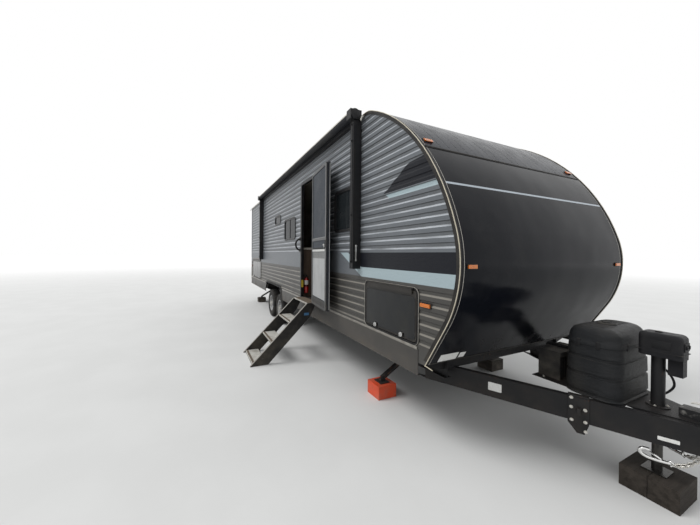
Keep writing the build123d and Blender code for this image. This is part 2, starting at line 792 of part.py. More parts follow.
def axle_parts():
    """Axle tubes with backing plates and spindles, and leaf springs with hangers."""
    tubes, springs = [], []
    z = tyre_radius
    eye_z = z + 95
    for x in axle_x:
        tubes.append(rod((x, -hub_low + 20, z), (x, hub_low - 20, z), 38))
        for side in (-1, 1):
            tubes.append(rod((x, side * (hub_low - 22), z), (x, side * (hub_low - 12), z), 140))
            tubes.append(rod((x, side * (hub_low - 20), z), (x, side * (tyre_y + 40), z), spindle_radius))
    reach = abs(axle_x[1] - axle_x[0]) / 2 - 45
    for side in (-1, 1):
        y = (side * (rail_y - 22), side * (rail_y + 22))
        for x in axle_x:
            for number in range(3):
                length = reach * (1 - 0.28 * number)
                level = z - 38 - 10 * number
                rise = eye_z - z + 25
                arc = ThreePointArc((x - length, level + rise * (length / reach) ** 2), (x, level),
                                    (x + length, level + rise * (length / reach) ** 2))
                lower = ThreePointArc((x + length, level - 10 + rise * (length / reach) ** 2), (x, level - 10),
                                      (x - length, level - 10 + rise * (length / reach) ** 2))
                face = make_face(Wire([arc, Line(arc @ 1, lower @ 0), lower, Line(lower @ 1, arc @ 0)]))
                springs.append(across(face, *y))
            springs.append(box((x - 50, x + 50), y, (z - 80, z - 60)))
        middle = sum(axle_x) / 2
        for x, width in ((axle_x[0] + reach, 40), (middle, 70), (axle_x[1] - reach, 40)):
            for near, far in ((-30, -24), (24, 30)):
                springs.append(box((x - width, x + width), (side * (rail_y + near), side * (rail_y + far)),
                                   (eye_z - 30, rail_low)))
        for x in [place + end * reach for place in axle_x for end in (-1, 1)]:
            springs.append(rod((x, side * (rail_y - 30), eye_z - 16),
                               (x, side * (rail_y + 30), eye_z - 16), 12))
    return joined(tubes), joined(springs)


parts["axles"], parts["leaf_springs"] = axle_parts()


def wheel(x, side):
    """Tyre and rim turned about the axle line, seen from the outside."""
    z = tyre_radius
    out = tyre_width / 2
    tyre_face = polygon((rim_radius, -out + 25), (rim_radius, out - 25), (rim_radius + 30, out - 6),
                        (tyre_radius - 70, out), (tyre_radius - 14, out - 18), (tyre_radius, out - 50),
                        (tyre_radius, -out + 50), (tyre_radius - 14, -out + 18), (tyre_radius - 70, -out),
                        (rim_radius + 30, -out + 6))
    rim_face = polygon((rim_radius - 12, -out + 20), (rim_radius + 12, -out + 14), (rim_radius, -out + 25),
                       (rim_radius, out - 25), (rim_radius + 12, out - 14), (rim_radius - 12, out - 20),
                       (rim_radius - 14, 30), (rim_radius - 60, 42), (70, 20), (70, -8),
                       (rim_radius - 55, 20), (rim_radius - 14, 10))
    place = Location((x, side * tyre_y, z)) * Rot(-90 * side, 0, 0)
    flat = Plane.XZ
    tyre = revolve(flat * tyre_face, Axis.Z)
    rim = revolve(flat * rim_face, Axis.Z)
    hub = Pos(0, 0, -95) * Cylinder(74, 175, align=(Align.CENTER, Align.CENTER, Align.MIN))
    drum = Pos(0, 0, -100 + 2) * Cylinder(132, 60, align=(Align.CENTER, Align.CENTER, Align.MIN))
    bore = Pos(0, 0, -110) * Cylinder(spindle_radius + running, 160,
                                      align=(Align.CENTER, Align.CENTER, Align.MIN))
    holes = [Rot(0, 0, 45 * n) * Pos(rim_radius - 68, 0, 0) * Cylinder(17, 120) for n in range(8)]
    rim = rim + drum + hub - bore
    for hole in holes:
        rim -= hole & Pos(0, 0, 25) * Cylinder(rim_radius, 60)
    return place * tyre, place * rim


for x, end in zip(axle_x, ("front", "rear")):
    for side, name in ((-1, "curb"), (1, "street")):
        parts[f"tyre_{end}_{name}"], parts[f"rim_{end}_{name}"] = wheel(x, side)


bumper_size = 102
bumper_wall = 3
bumper_gap = 58           # clear of the rear wall
bumper_inset = 60         # its ends inside the sides of the body
bumper_rise = 60          # above the underside of the beams
bracket_wide = 40


def bumper():
    """Square tube behind the body on two brackets."""
    low = rail_low + bumper_rise
    front = rear_x - bumper_gap
    back = front - bumper_size
    bar = box((back, front), (-half + bumper_inset, half - bumper_inset), (low, low + bumper_size))
    hollow = box((back + bumper_wall, front - bumper_wall), (-half, half),
                 (low + bumper_wall, low + bumper_size - bumper_wall))
    beam_face = rail_y + web / 2
    arms = [box((front, rear_x + 40), (side * beam_face, side * (beam_face + bracket_wide)),
                (low + 10, low + bumper_size - 10)) for side in (-1, 1)]
    return joined([bar - hollow] + arms)


parts["bumper"] = bumper()


# awning, rolled up against the door side
arm_x = (-2520, -8150)
arm_half = 38
arm_depth = 100
arm_low = 1480
head_depth = 150
head_gap = 6              # the heads stand off the roof's moulding
arm_head_half = 50
roller_out = 90
roller_z = 3265
roller_radius = 48
head_span = (roller_z - 75, roller_z + 35)
rail_drop = 34            # top of the wall rail below the roof


def awning():
    """Two arms on the door side, with the roller and its end heads."""
    arms = []
    for x in arm_x:
        arms.append(box((x - arm_half, x + arm_half), (-half, -half - arm_depth), (arm_low, head_span[0])))
        arms.append(box((x - arm_head_half, x + arm_head_half), (-half - head_gap, -half - head_depth),
                        head_span))
    ends = (arm_x[1] + arm_head_half, arm_x[0] - arm_head_half)
    y = -half - roller_out
    roller = rod((ends[0], y, roller_z), (ends[1], y, roller_z), roller_radius)
    rail_top = roof_top - rail_drop
    rail = box((ends[0] + 2, ends[1] - 2), (-half, -half - 14), (rail_top - 20, rail_top))
    return joined(arms + [rail]), roller


parts["awning_arms"], parts["awning_roller"] = awning()


def tongue_covers():
    """Moulded gas-bottle cover and the battery box."""
    low = frame_top + tray_thick
    x_mid, length = sum(cover_x) / 2, cover_x[1] - cover_x[0]
    shoulder_z = low + cover_height - 90

    def ring(z, less, radius, across_less=None):
        width = cover_width - (less if across_less is None else across_less)
        return Pos(x_mid, 0, z) * RectangleRounded(length - less, width, radius)
    shoulder = ring(shoulder_z, 30, 110)
    cover = loft([ring(low, 0, 120), shoulder]) + loft([shoulder, ring(low + cover_height, 170, 50, 150)])
    cover -= loft([ring(low, 2 * cover_wall, 114), ring(shoulder_z - cover_wall, 30 + 2 * cover_wall, 104)])
    lid_z = low + 196
    battery = box(battery_x, (-170, 170), (low, low + 226))
    battery += box((battery_x[0] - 10, battery_x[1] + 10), (-180, 180), (lid_z, lid_z + 40))
    return cover, battery


parts["lp_cover"], parts["battery_box"] = tongue_covers()

# roof: air conditioner, vents with their lids, vent stack
ac_x = -5600
ac_base = (950, 700)
ac_lid = (760, 560)
ac_height = 300
vent_x = (-3100, -8200)
vent_half = 200
vent_curb = 60
vent_lid = 35
lid_lap = 15
stack_place = (-7400, 500)
stack_radius = 40
stack_height = 90


def rooftop():
    """Air conditioner and two lidded vents on the roof."""
    unit = loft([Pos(ac_x, 0, roof_top) * RectangleRounded(*ac_base, 90),
                 Pos(ac_x - 20, 0, roof_top + ac_height) * RectangleRounded(*ac_lid, 80)])
    curb_top = roof_top + vent_curb
    lid_half = vent_half + lid_lap
    vents = []
    for x in vent_x:
        vents.append(box((x - vent_half, x + vent_half), (-vent_half, vent_half), (roof_top, curb_top)))
        vents.append(box((x - lid_half, x + lid_half), (-lid_half, lid_half),
                         (curb_top, curb_top + vent_lid)))
    vents.append(rod((*stack_place, roof_top), (*stack_place, roof_top + stack_height), stack_radius))
    return unit, joined(vents)


parts["roof_ac"], parts["roof_vents"] = rooftop()

# lamps
lens_depth = 18
side_lamp_z = (1215, 1245)
side_marker_x = (-1450, -1340)
front_marker_y = half - 119
front_marker_z = (1562, 2650)
front_marker_half = (45, 14)
rear_marker_inset = 80
tail_lamp_z = (1000, 1090)
tail_lamp_y = (half - 319, half - 99)
tail_lamp_depth = 25
top_lamp_y = (-180, 0, 180)
top_lamp_half = 45
top_lamp_z = (roof_top - 200, roof_top - 170)


def lamps():
    """Amber markers at the front and sides, red lamps at the rear."""
    amber, red = [], []
    for side in (-1, 1):
        face = (side * half, side * (half + lens_depth))
        amber.append(box(side_marker_x, face, side_lamp_z))
        red.append(box((rear_x + rear_marker_inset, rear_x + 2 * rear_marker_inset + 10), face, side_lamp_z))
        red.append(box((rear_x - tail_lamp_depth, rear_x), (side * tail_lamp_y[0], side * tail_lamp_y[1]),
                       tail_lamp_z))
        wide, high = front_marker_half
        lens = across(offset(outline, lens_depth - 4) - outline, side * front_marker_y - wide,
                      side * front_marker_y + wide)
        for z in front_marker_z:
            amber.append(lens & box((nose_x - 1000, nose_x + 50), (-half, half), (z - high, z + high)))
    for y in top_lamp_y:
        red.append(box((rear_x - lens_depth, rear_x), (y - top_lamp_half, y + top_lamp_half), top_lamp_z))
    return joined(amber), joined(red)


parts["amber_markers"], parts["red_lamps"] = lamps()

# grab handle
handle_x = door_x[0] - door_flange - 35
handle_z = (1715, 1925)
handle_foot = (25, 12, 30)
handle_reach = 85
handle_radius = 12


def grab_handle():
    """Bowed grab handle beside the door, on two feet."""
    wide, deep, high = handle_foot
    feet = [box((handle_x - wide, handle_x + wide), (-half - deep, -half), (z - high, z + high))
            for z in handle_z]
    root = -half - deep + 4
    bow = ThreePointArc((handle_x, root, handle_z[0]), (handle_x, -half - handle_reach, sum(handle_z) / 2),
                        (handle_x, root, handle_z[1]))
    bar = sweep(Plane(origin=bow @ 0, z_dir=bow % 0) * Circle(handle_radius), path=bow)
    return joined(feet + [bar])


parts["grab_handle"] = grab_handle()


galley_end = door_x[0] - 85
galley_length = 1100
galley_depth = 564
counter_height = 900
board = 18


def galley():
    """Kitchen cabinet just behind the doorway, open to the wall and to the counter over it."""
    x = (galley_end - galley_length, galley_end)
    front = -inner + galley_depth
    base = box(x, (-inner, front), (floor_top, floor_top + counter_height))
    base -= box((x[0] + board, x[1] - board), (-inner, front - board),
                (floor_top + 60, floor_top + counter_height))
    top = box((x[0], x[1] + 15), (-inner, front + 20),
              (floor_top + counter_height, floor_top + counter_height + 35))
    return base, top


parts["galley_cabinet"], parts["galley_counter"] = galley()


def extinguisher():
    """Fire extinguisher on the cabinet end, seen through the doorway."""
    x, y, low = galley_end + 45, -inner + 74, floor_top + 100
    bottle = rod((x, y, low), (x, y, low + 260), 38) + rod((x, y, low + 260), (x, y, low + 300), 14)
    bracket = box((x - 45, x - 30), (y - 15, y + 15), (low + 60, low + 200))
    return bottle + bracket


parts["fire_extinguisher"] = extinguisher()

outlet_x = arch_x[0] - 540
outlet_z = 540
pipe_radius = 40
fitting_radius = 44.45    # outside of the hose fitting
fitting_length = 60
outlet_end = half - 54


def sewer_outlet():
    """Waste pipe down from the floor and out to a hose fitting below the street side."""
    riser_y = outlet_end - 215
    riser = rod((outlet_x, riser_y, outlet_z), (outlet_x, riser_y, body_low), pipe_radius)
    pipe = rod((outlet_x, riser_y - pipe_radius, outlet_z), (outlet_x, outlet_end, outlet_z), pipe_radius)
    fitting = rod((outlet_x, outlet_end - fitting_length, outlet_z), (outlet_x, outlet_end, outlet_z),
                  fitting_radius)
    return riser + pipe + fitting


parts["sewer_outlet"] = sewer_outlet()

os.makedirs("parts", exist_ok=True)
for name, solid in parts.items():
    export_step(Pos(0, 0, -hitch_height) * solid, f"parts/{name}.step")
print(len(parts), "nodes")
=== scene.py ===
"""Travel trailer standing on its jack, legs and steps: the looks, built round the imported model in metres."""
from math import cos, hypot, pi, radians, sin, tan

import bmesh
import bpy
from mathutils import Matrix, Vector


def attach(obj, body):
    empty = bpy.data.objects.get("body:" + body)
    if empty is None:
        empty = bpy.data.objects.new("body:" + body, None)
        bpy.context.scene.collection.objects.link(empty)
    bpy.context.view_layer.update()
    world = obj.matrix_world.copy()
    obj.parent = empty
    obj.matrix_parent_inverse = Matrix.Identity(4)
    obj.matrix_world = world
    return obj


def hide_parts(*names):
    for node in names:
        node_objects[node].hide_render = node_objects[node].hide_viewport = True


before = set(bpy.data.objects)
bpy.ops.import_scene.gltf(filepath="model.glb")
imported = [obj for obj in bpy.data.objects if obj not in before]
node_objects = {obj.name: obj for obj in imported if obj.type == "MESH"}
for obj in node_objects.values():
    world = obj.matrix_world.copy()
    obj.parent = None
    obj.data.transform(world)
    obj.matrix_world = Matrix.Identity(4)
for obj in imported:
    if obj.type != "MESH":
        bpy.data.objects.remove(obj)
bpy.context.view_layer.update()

# Camera. A phone with a wide lens, held at head height on the door side just ahead of the coupler,
# looking back along the trailer.
view_from = Vector((0.441, -2.901, 1.145))
view_yaw, view_pitch, view_roll = 0.4525, -0.0056, 0.0081
view_ahead = Vector((-cos(view_yaw) * cos(view_pitch), sin(view_yaw) * cos(view_pitch), sin(view_pitch)))
level_right = view_ahead.cross(Vector((0, 0, 1))).normalized()
level_up = level_right.cross(view_ahead)
view_right = cos(view_roll) * level_right + sin(view_roll) * level_up
view_up = cos(view_roll) * level_up - sin(view_roll) * level_right
lens = bpy.data.cameras.new("phone_lens")
lens.sensor_width = 36
lens.lens = 14.950
lens.shift_x, lens.shift_y = 0.0141, -0.0093
lens.clip_end = 300
camera = bpy.data.objects.new("camera", lens)
bpy.context.scene.collection.objects.link(camera)
camera.matrix_world = Matrix.Translation(view_from) @ Matrix((view_right, view_up, -view_ahead)).transposed().to_4x4()
bpy.context.scene.camera = camera
bpy.context.scene.view_settings.view_transform = "Standard"


# Jack cable. A rubber-sleeved lead comes out of the gland under the jack's head, swings out in one slack
# bow on the far side of the column and goes down through a grommet in the jack's flange.
def join(value, socket):
    """Links an output to a socket, or sets the socket's own value."""
    if isinstance(value, bpy.types.NodeSocket):
        socket.id_data.links.new(value, socket)
    else:
        socket.default_value = value


def add_node(tree, kind, *inputs, **settings):
    """Shader node with its settings, and its first sockets joined or set in order."""
    made = tree.nodes.new("ShaderNode" + kind)
    for key, value in settings.items():
        setattr(made, key, value)
    for socket, value in zip(made.inputs, inputs):
        if value is not None:
            join(value, socket)
    return made


class Finish:
    """Surface finish worked out from the trailer's own metres: colour, gloss and relief."""

    def __init__(self, name, colour, roughness=0.5, metallic=0.0, **sockets):
        self.material = bpy.data.materials.new(name)
        self.material.use_nodes = True
        self.tree = self.material.node_tree
        self.shader = self.tree.nodes["Principled BSDF"]
        self.shader.inputs["Metallic"].default_value = metallic
        for socket, value in sockets.items():
            self.shader.inputs[socket.replace("_", " ")].default_value = value
        coordinates = self.node("TexCoord").outputs
        self.place, self.facing = coordinates["Object"], coordinates["Normal"]
        self.x, self.y, self.z = self.node("SeparateXYZ", self.place).outputs
        self.colour = (*colour, 1)
        self.roughness = roughness
        self.normal = None

    def node(self, kind, *inputs, **settings):
        return add_node(self.tree, kind, *inputs, **settings)

    def work(self, operation, *values):
        return self.node("Math", *values, operation=operation).outputs[0]

    def ramp(self, value, low, high):
        """Smooth step from 0 at low to 1 at high."""
        return self.node("MapRange", value, low, high, 0.0, 1.0, interpolation_type="SMOOTHSTEP").outputs[0]

    def above(self, value, level, soft=0.002):
        return self.ramp(value, level - soft, level + soft)

    def rest(self, mask):
        return self.work("SUBTRACT", 1.0, mask)

    def between(self, value, low, high, soft=0.002):
        inside = self.rest(self.above(value, high, soft))
        return self.both(self.above(value, low, soft), inside)

    def both(self, *masks):
        result = masks[0]
        for mask in masks[1:]:
            result = self.work("MULTIPLY", result, mask)
        return result

    def without(self, mask, other):
        return self.both(mask, self.rest(other))

    def patches(self, per_metre, low=0.3, high=0.7, detail=3.0, stretch=(1, 1, 1)):
        """Irregular patches, or streaks where the space is stretched."""
        space = self.node("VectorMath", self.place, stretch, operation="MULTIPLY").outputs[0]
        return self.ramp(self.node("TexNoise", space, None, per_metre, detail).outputs[0], low, high)

    def faces(self, axis):
        """How squarely the surface faces along an axis, from -1 to 1."""
        return self.node("SeparateXYZ", self.facing).outputs[axis]

    def upward(self):
        return self.ramp(self.faces(2), 0.25, 0.85)

    def mix(self, mask, first, second):
        made = self.tree.nodes.new("ShaderNodeMix")
        made.data_type = "RGBA"
        join(mask, made.inputs[0])
        join(first, made.inputs[6])
        join(second, made.inputs[7])
        return made.outputs[2]

    def tint(self, mask, colour, most=1.0):
        """Lays another colour over where the mask is, at most so strongly."""
        share = self.work("MULTIPLY", mask, most) if most < 1 else mask
        self.colour = self.mix(share, self.colour, (*colour, 1))
        return self

    def dull(self, mask, roughness):
        made = self.tree.nodes.new("ShaderNodeMix")
        join(mask, made.inputs[0])
        join(self.roughness, made.inputs[2])
        join(roughness, made.inputs[3])
        self.roughness = made.outputs[0]
        return self

    def relief(self, height, depth):
        """Raises or sinks the surface by a height from 0 to 1 times a depth in metres."""
        bump = self.node("Bump", 1.0, depth)
        join(height, bump.inputs["Height"])
        if self.normal:
            join(self.normal, bump.inputs["Normal"])
        self.normal = bump.outputs[0]
        return self

    def grained(self, depth, *patch, **more):
        """Relief in patches."""
        return self.relief(self.patches(*patch, **more), depth)

    def blotched(self, colour, most, *patch, **more):
        """Another colour in patches, at most so strongly."""
        return self.tint(self.patches(*patch, **more), colour, most)

    def rubbed(self, roughness, *patch, **more):
        """Another roughness in patches."""
        return self.dull(self.patches(*patch, **more), roughness)

    def weathered(self, dust=(0.30, 0.27, 0.22), most=0.25, low=-0.45, high=0.25):
        """Road dust: thicker low down and on ledges, in patches."""
        height = self.rest(self.ramp(self.z, low, high))
        ledges = self.work("MULTIPLY", self.upward(), 0.5)
        amount = self.both(self.work("MAXIMUM", height, ledges), self.patches(6, 0.3, 0.75, 6.0))
        self.tint(amount, dust, most)
        return self.dull(self.work("MULTIPLY", amount, most * 2), 0.85)

    def done(self):
        join(self.colour, self.shader.inputs["Base Color"])
        join(self.roughness, self.shader.inputs["Roughness"])
        if self.normal:
            join(self.normal, self.shader.inputs["Normal"])
        return self.material


def dark_finish(name, colour, roughness):
    """Black plastic, rubber and paint, with little shine of its own."""
    return Finish(name, colour, roughness, Specular_IOR_Level=0.2)


cable_diameter, cable_x, cable_y, gland_z = 0.014, -0.426, 0.044, 0.448
cable_route = [(cable_x + out * 0.882, cable_y + out * 0.472, z) for out, z in
               ((0, gland_z), (0, 0.390), (0.060, 0.330), (0.088, 0.255), (0.060, 0.202), (0.014, 0.162),
                (0.014, 0.117))]
cable_curve = bpy.data.curves.new("jack_cable_line", "CURVE")
cable_curve.dimensions = "3D"
cable_line = cable_curve.splines.new("NURBS")
cable_line.points.add(len(cable_route) - 1)
for point, place in zip(cable_line.points, cable_route):
    point.co = (*place, 1)
cable_line.order_u = 3
cable_line.use_endpoint_u = True
cable_line.resolution_u = 12
cable_curve.bevel_depth = cable_diameter / 2
cable_curve.bevel_resolution = 5
jack_lead = bpy.data.objects.new("jack_lead", cable_curve)
bpy.context.scene.collection.objects.link(jack_lead)
rubber = dark_finish("cable_rubber", (0.011, 0.011, 0.012), 0.6)
rubber.relief(rubber.ramp(rubber.work("SINE", rubber.work("MULTIPLY", rubber.z, 1400.0)), -0.4, 0.8), 0.0006)
rubber.weathered(most=0.35)
cable_curve.materials.append(rubber.done())
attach(jack_lead, "trailer")
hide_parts("jack_cable")

# Floor and light. A pale studio floor that fades to white far off, a white backdrop, an even sky and one
# broad soft lamp high on the door side.
floor_mesh = bpy.data.meshes.new("studio_floor")
ground, floor_middle, floor_sides = -0.5, -5, 64
floor_points, floor_faces = [(floor_middle, 0, ground)], []
for ring, reach in enumerate((8.0, 20.0, 60.0, 140.0)):
    for side in range(floor_sides):
        turn = 2 * pi * side / floor_sides
        floor_points.append((floor_middle + reach * cos(turn), reach * sin(turn), ground))
        after = (side + 1) % floor_sides
        outer, inner = 1 + ring * floor_sides, 1 + (ring - 1) * floor_sides
        if ring == 0:
            floor_faces.append((0, outer + side, outer + after))
        else:
            floor_faces.append((inner + side, outer + side, outer + after, inner + after))
floor_mesh.from_pydata(floor_points, [], floor_faces)
studio_floor = bpy.data.objects.new("studio_floor", floor_mesh)
bpy.context.scene.collection.objects.link(studio_floor)
paper = Finish("studio_paper", (0.62, 0.62, 0.61), 0.9).blotched((0.58, 0.58, 0.57), 0.6, 1.5, detail=4.0)
from_middle = paper.node("VectorMath", paper.place, (-floor_middle, 0, -ground), operation="ADD").outputs[0]
paper_far = paper.ramp(paper.node("VectorMath", from_middle, operation="LENGTH").outputs["Value"], 9.0, 45.0)
paper.shader.inputs["Emission Color"].default_value = (1, 1, 1, 1)
join(paper_far, paper.shader.inputs["Emission Strength"])
paper.tint(paper_far, (0, 0, 0))
floor_mesh.materials.append(paper.done())

world = bpy.data.worlds.new("studio_sky")
bpy.context.scene.world = world
world.use_nodes = True
sky = world.node_tree
sky_light = sky.nodes["Background"]
sky_place = add_node(sky, "SeparateXYZ", add_node(sky, "TexCoord").outputs["Generated"])
sky_shade = add_node(sky, "ValToRGB", sky_place.outputs["Z"])
sky_low, sky_high = sky_shade.color_ramp.elements
sky_low.position, sky_low.color = 0.0, (0.40, 0.41, 0.42, 1)
sky_high.position, sky_high.color = 0.75, (0.98, 0.99, 1.0, 1)
join(sky_shade.outputs[0], sky_light.inputs["Color"])
backdrop = add_node(sky, "Background", (1, 1, 1, 1))
ray_kind = add_node(sky, "LightPath").outputs
seen = add_node(sky, "Math", ray_kind["Is Camera Ray"], ray_kind["Is Glossy Ray"], operation="MAXIMUM").outputs[0]
seen = add_node(sky, "Math", seen, ray_kind["Is Transmission Ray"], operation="MAXIMUM").outputs[0]
sky_mix = add_node(sky, "MixShader", seen, sky_light.outputs[0], backdrop.outputs[0])
join(sky_mix.outputs[0], sky.nodes["World Output"].inputs["Surface"])

lamp = bpy.data.lights.new("soft_lamp", "SUN")
lamp.energy = 1.5
lamp.angle = radians(25)
soft_lamp = bpy.data.objects.new("soft_lamp", lamp)
bpy.context.scene.collection.objects.link(soft_lamp)
soft_lamp.rotation_euler = Vector((-0.25, -0.75, 1.0)).to_track_quat("Z", "Y").to_euler()


# Chassis. Two rolled I-beams with pressed cross members and outriggers, the drawbar channels and the
# hollow bumper, all welded steel sprayed satin black, with road dust and a little rust low down.
def clad(finish, *names):
    """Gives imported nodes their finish."""
    material = finish.done()
    for name in names:
        node_objects[name].data.materials.clear()
        node_objects[name].data.materials.append(material)
    return material


class Form:
    """Mesh of one piece, put together from pressed, turned, bent and cut parts."""

    def __init__(self):
        self.mesh = bmesh.new()

    def soften(self, made, edge, steps):
        if edge > 0:
            bmesh.ops.bevel(self.mesh, geom=list({e for v in made for e in v.link_edges}), offset=edge,
                            segments=steps, profile=0.5, affect="EDGES", clamp_overlap=True)

    def block(self, x, y, z, edge=0.0, steps=2, place=None):
        """Block between three spans with rounded edges, turned and moved by place."""
        x, y, z = sorted(x), sorted(y), sorted(z)
        size = [high - low for low, high in (x, y, z)]
        centre = [(low + high) / 2 for low, high in (x, y, z)]
        fit = Matrix.Translation(centre) @ Matrix.Diagonal((*size, 1))
        made = bmesh.ops.create_cube(self.mesh, size=1, matrix=(place or Matrix()) @ fit)["verts"]
        self.soften(made, edge, steps)
        return self

    def blocks(self, rows, place=None):
        """Blocks from rows of three spans, edge and steps."""
        for row in rows:
            self.block(*row, place)
        return self

    def skin(self, rings, ends=True):
        """Faces between rings of points, and over the two end rings."""
        for first, second in zip(rings, rings[1:]):
            for n in range(len(first)):
                m = (n + 1) % len(first)
                self.mesh.faces.new((first[n], first[m], second[m], second[n]))
        if ends:
            self.mesh.faces.new(rings[0])
            self.mesh.faces.new(rings[-1])
        return self

    def slab(self, outline, view, low, high, edge=0.0, steps=2, place=None):
        """Outline cut from sheet: drawn in plan (xy), from the side (xz) or from the end (yz)."""
        def spot(a, b, depth):
            at = {"xy": (a, b, depth), "xz": (a, depth, b), "yz": (depth, a, b)}[view]
            return (place or Matrix()) @ Vector(at)
        low, high = sorted((low, high))
        lower = [self.mesh.verts.new(spot(a, b, low)) for a, b in outline]
        upper = [self.mesh.verts.new(spot(a, b, high)) for a, b in outline]
        self.mesh.faces.new(lower)
        self.mesh.faces.new(upper)
        for n in range(len(outline)):
            m = (n + 1) % len(outline)
            self.mesh.faces.new((lower[n], lower[m], upper[m], upper[n]))
        self.soften(lower + upper, edge, steps)
        return self

    def turned(self, profile, start, axis, steps=32):
        """Turned part: (distance along the axis, radius) points swung round the axis."""
        axis = Vector(axis).normalized()
        side = axis.orthogonal().normalized()
        rings = []
        for along, radius in profile:
            centre = Vector(start) + axis * along
            count = 1 if radius == 0 else steps
            rings.append([self.mesh.verts.new(centre + Matrix.Rotation(2 * pi * n / steps, 3, axis) @ side * radius)
                          for n in range(count)])
        for first, second in zip(rings, rings[1:]):
            for n in range(steps):
                m = (n + 1) % steps
                corners = [first[n % len(first)], first[m % len(first)],
                           second[m % len(second)], second[n % len(second)]]
                corners = list(dict.fromkeys(corners))
                if len(corners) > 2:
                    self.mesh.faces.new(corners)
        for ring in (rings[0], rings[-1]):
            if len(ring) > 2:
                self.mesh.faces.new(ring)
        return self

    def rod(self, start, end, radius, steps=16):
        start, end = Vector(start), Vector(end)
        length = (end - start).length
        edge = min(radius * 0.15, length * 0.2)
        return self.turned(((0, radius - edge), (edge, radius), (length - edge, radius), (length, radius - edge)),
                           start, end - start, steps)

    def screw(self, at, axis):
        """Low dome-headed screw."""
        return self.turned(((0, 0.0042), (0.0012, 0.0040), (0.0022, 0.0022), (0.0024, 0)), at, axis, 8)

    def bolt(self, at, axis, size):
        """Hexagon head on its washer; size is the head's width."""
        axis = Vector(axis).normalized()
        washer = size * 0.16
        self.turned(((0, size * 0.78), (washer, size * 0.78)), at, axis, 20)
        head = Vector(at) + axis * washer
        self.turned(((0, size * 0.56), (size * 0.36, size * 0.56), (size * 0.44, size * 0.46)), head, axis, 6)
        return self.turned(((size * 0.4, size * 0.28), (size * 0.62, size * 0.28), (size * 0.66, size * 0.22)),
                           head, axis, 12)

    def bent(self, path, section, bend=0.0, steps=5, closed=False):
        """Bar bent along a path with rounded corners; section is a radius or (sideways, upward) points."""
        points = rounded(path, bend, steps) if bend else [Vector(p) for p in path]
        if isinstance(section, (int, float)):
            section = round_bar(section, 14)
        count = len(points)
        rings, side = [], None
        for n, point in enumerate(points):
            before = points[(n - 1) % count] if closed or n else point
            after = points[(n + 1) % count] if closed or n < count - 1 else point
            run = (after - before).normalized()
            if side is None:
                side = run.cross(Vector((0, 0, 1)))
                side = (side if side.length > 0.05 else run.cross(Vector((0, 1, 0)))).normalized()
            side = (side - run * side.dot(run)).normalized()
            lift = side.cross(run)
            rings.append([self.mesh.verts.new(point + side * a + lift * b) for a, b in section])
        return self.skin(rings + [rings[0]] if closed else rings, not closed)

    def finished(self, name, material, slot, body="trailer", sharp=35):
        """The piece in its place: shaded, finished, riding on its body."""
        bmesh.ops.recalc_face_normals(self.mesh, faces=self.mesh.faces)
        mesh = bpy.data.meshes.new(name)
        self.mesh.to_mesh(mesh)
        self.mesh.free()
        mesh.materials.append(material)
        mesh.shade_smooth()
        mesh.set_sharp_from_angle(angle=radians(sharp))
        piece = bpy.data.objects.new(name, mesh)
        bpy.context.scene.collection.objects.link(piece)
        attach(piece, body)
        return piece


def about(middle, half):
    """Span so far either way of its middle."""
    return middle - half, middle + half


def round_bar(radius, sides):
    return [(radius * cos(2 * pi * n / sides), radius * sin(2 * pi * n / sides)) for n in range(sides)]


def flat_bar(half_width, half_thick):
    return [(a * half_width, b * half_thick) for a, b in ((1, -1), (1, 1), (-1, 1), (-1, -1))]


def rounded(path, bend, steps):
    """Path with each inner corner replaced by an arc of points."""
    path = [Vector(p) for p in path]
    points = [path[0]]
    for before, corner, after in zip(path, path[1:], path[2:]):
        first, second = (before - corner).normalized(), (after - corner).normalized()
        reach = min(bend, (before - corner).length * 0.48, (after - corner).length * 0.48)
        start, end = corner + first * reach, corner + second * reach
        for n in range(steps + 1):
            t = n / steps
            points.append(start * (1 - t) ** 2 + corner * 2 * t * (1 - t) + end * t ** 2)
    return points + [path[-1]]


def pane(x, z, radius, steps=6):
    """Round-cornered rectangle as points of a side view."""
    points = []
    for cx, cz, first in ((x[1] - radius, z[1] - radius, 0), (x[0] + radius, z[1] - radius, 90),
                          (x[0] + radius, z[0] + radius, 180), (x[1] - radius, z[0] + radius, 270)):
        for n in range(steps + 1):
            turn = radians(first + 90 * n / steps)
            points.append((cx + radius * cos(turn), cz + radius * sin(turn)))
    return points


frame_paint = dark_finish("frame_paint", (0.0125, 0.0125, 0.0135), 0.42).grained(0.0004, 420, detail=2.0)
frame_paint.tint(frame_paint.both(frame_paint.patches(38, 0.60, 0.72, 8.0), frame_paint.patches(3, 0.45, 0.7)),
                 (0.13, 0.055, 0.025), 0.7)
frame_paint.weathered(dust=(0.11, 0.09, 0.07), most=0.3, low=-0.4, high=0.3)
painted_steel = clad(frame_paint, "chassis", "crossmembers", "a_frame", "step_bracket", "bumper")

bumper_caps = Form()
for side in (-1, 1):
    bumper_caps.block((-10.309, -10.215), (side * 1.1555, side * 1.1675), (0.091, 0.189), 0.004)
black_plastic = (dark_finish("cap_plastic", (0.012, 0.012, 0.013), 0.5).grained(0.0005, 900, detail=2.0)
                 .weathered(most=0.3).done())
bumper_caps.finished("bumper_caps", black_plastic, "black_plastic")

zinc = (Finish("zinc_plate", (0.62, 0.61, 0.58), 0.32, 1.0).blotched((0.42, 0.36, 0.26), 0.5, 240, 0.45, 0.7, 5.0)
        .rubbed(0.55, 120, 0.4, 0.7).grained(0.0003, 500).done())

# Drawbar fittings. A bracket for the levelling bar is clamped over the door-side channel with zinc-plated
# bolts, and two bare plates are riveted and stuck to the channel's outer face.
drawbar_turn, drawbar_tip = radians(25), 0.0583
drawbar_out = Vector((sin(drawbar_turn), -cos(drawbar_turn), 0))
drawbar_along = Vector((cos(drawbar_turn), sin(drawbar_turn), 0))


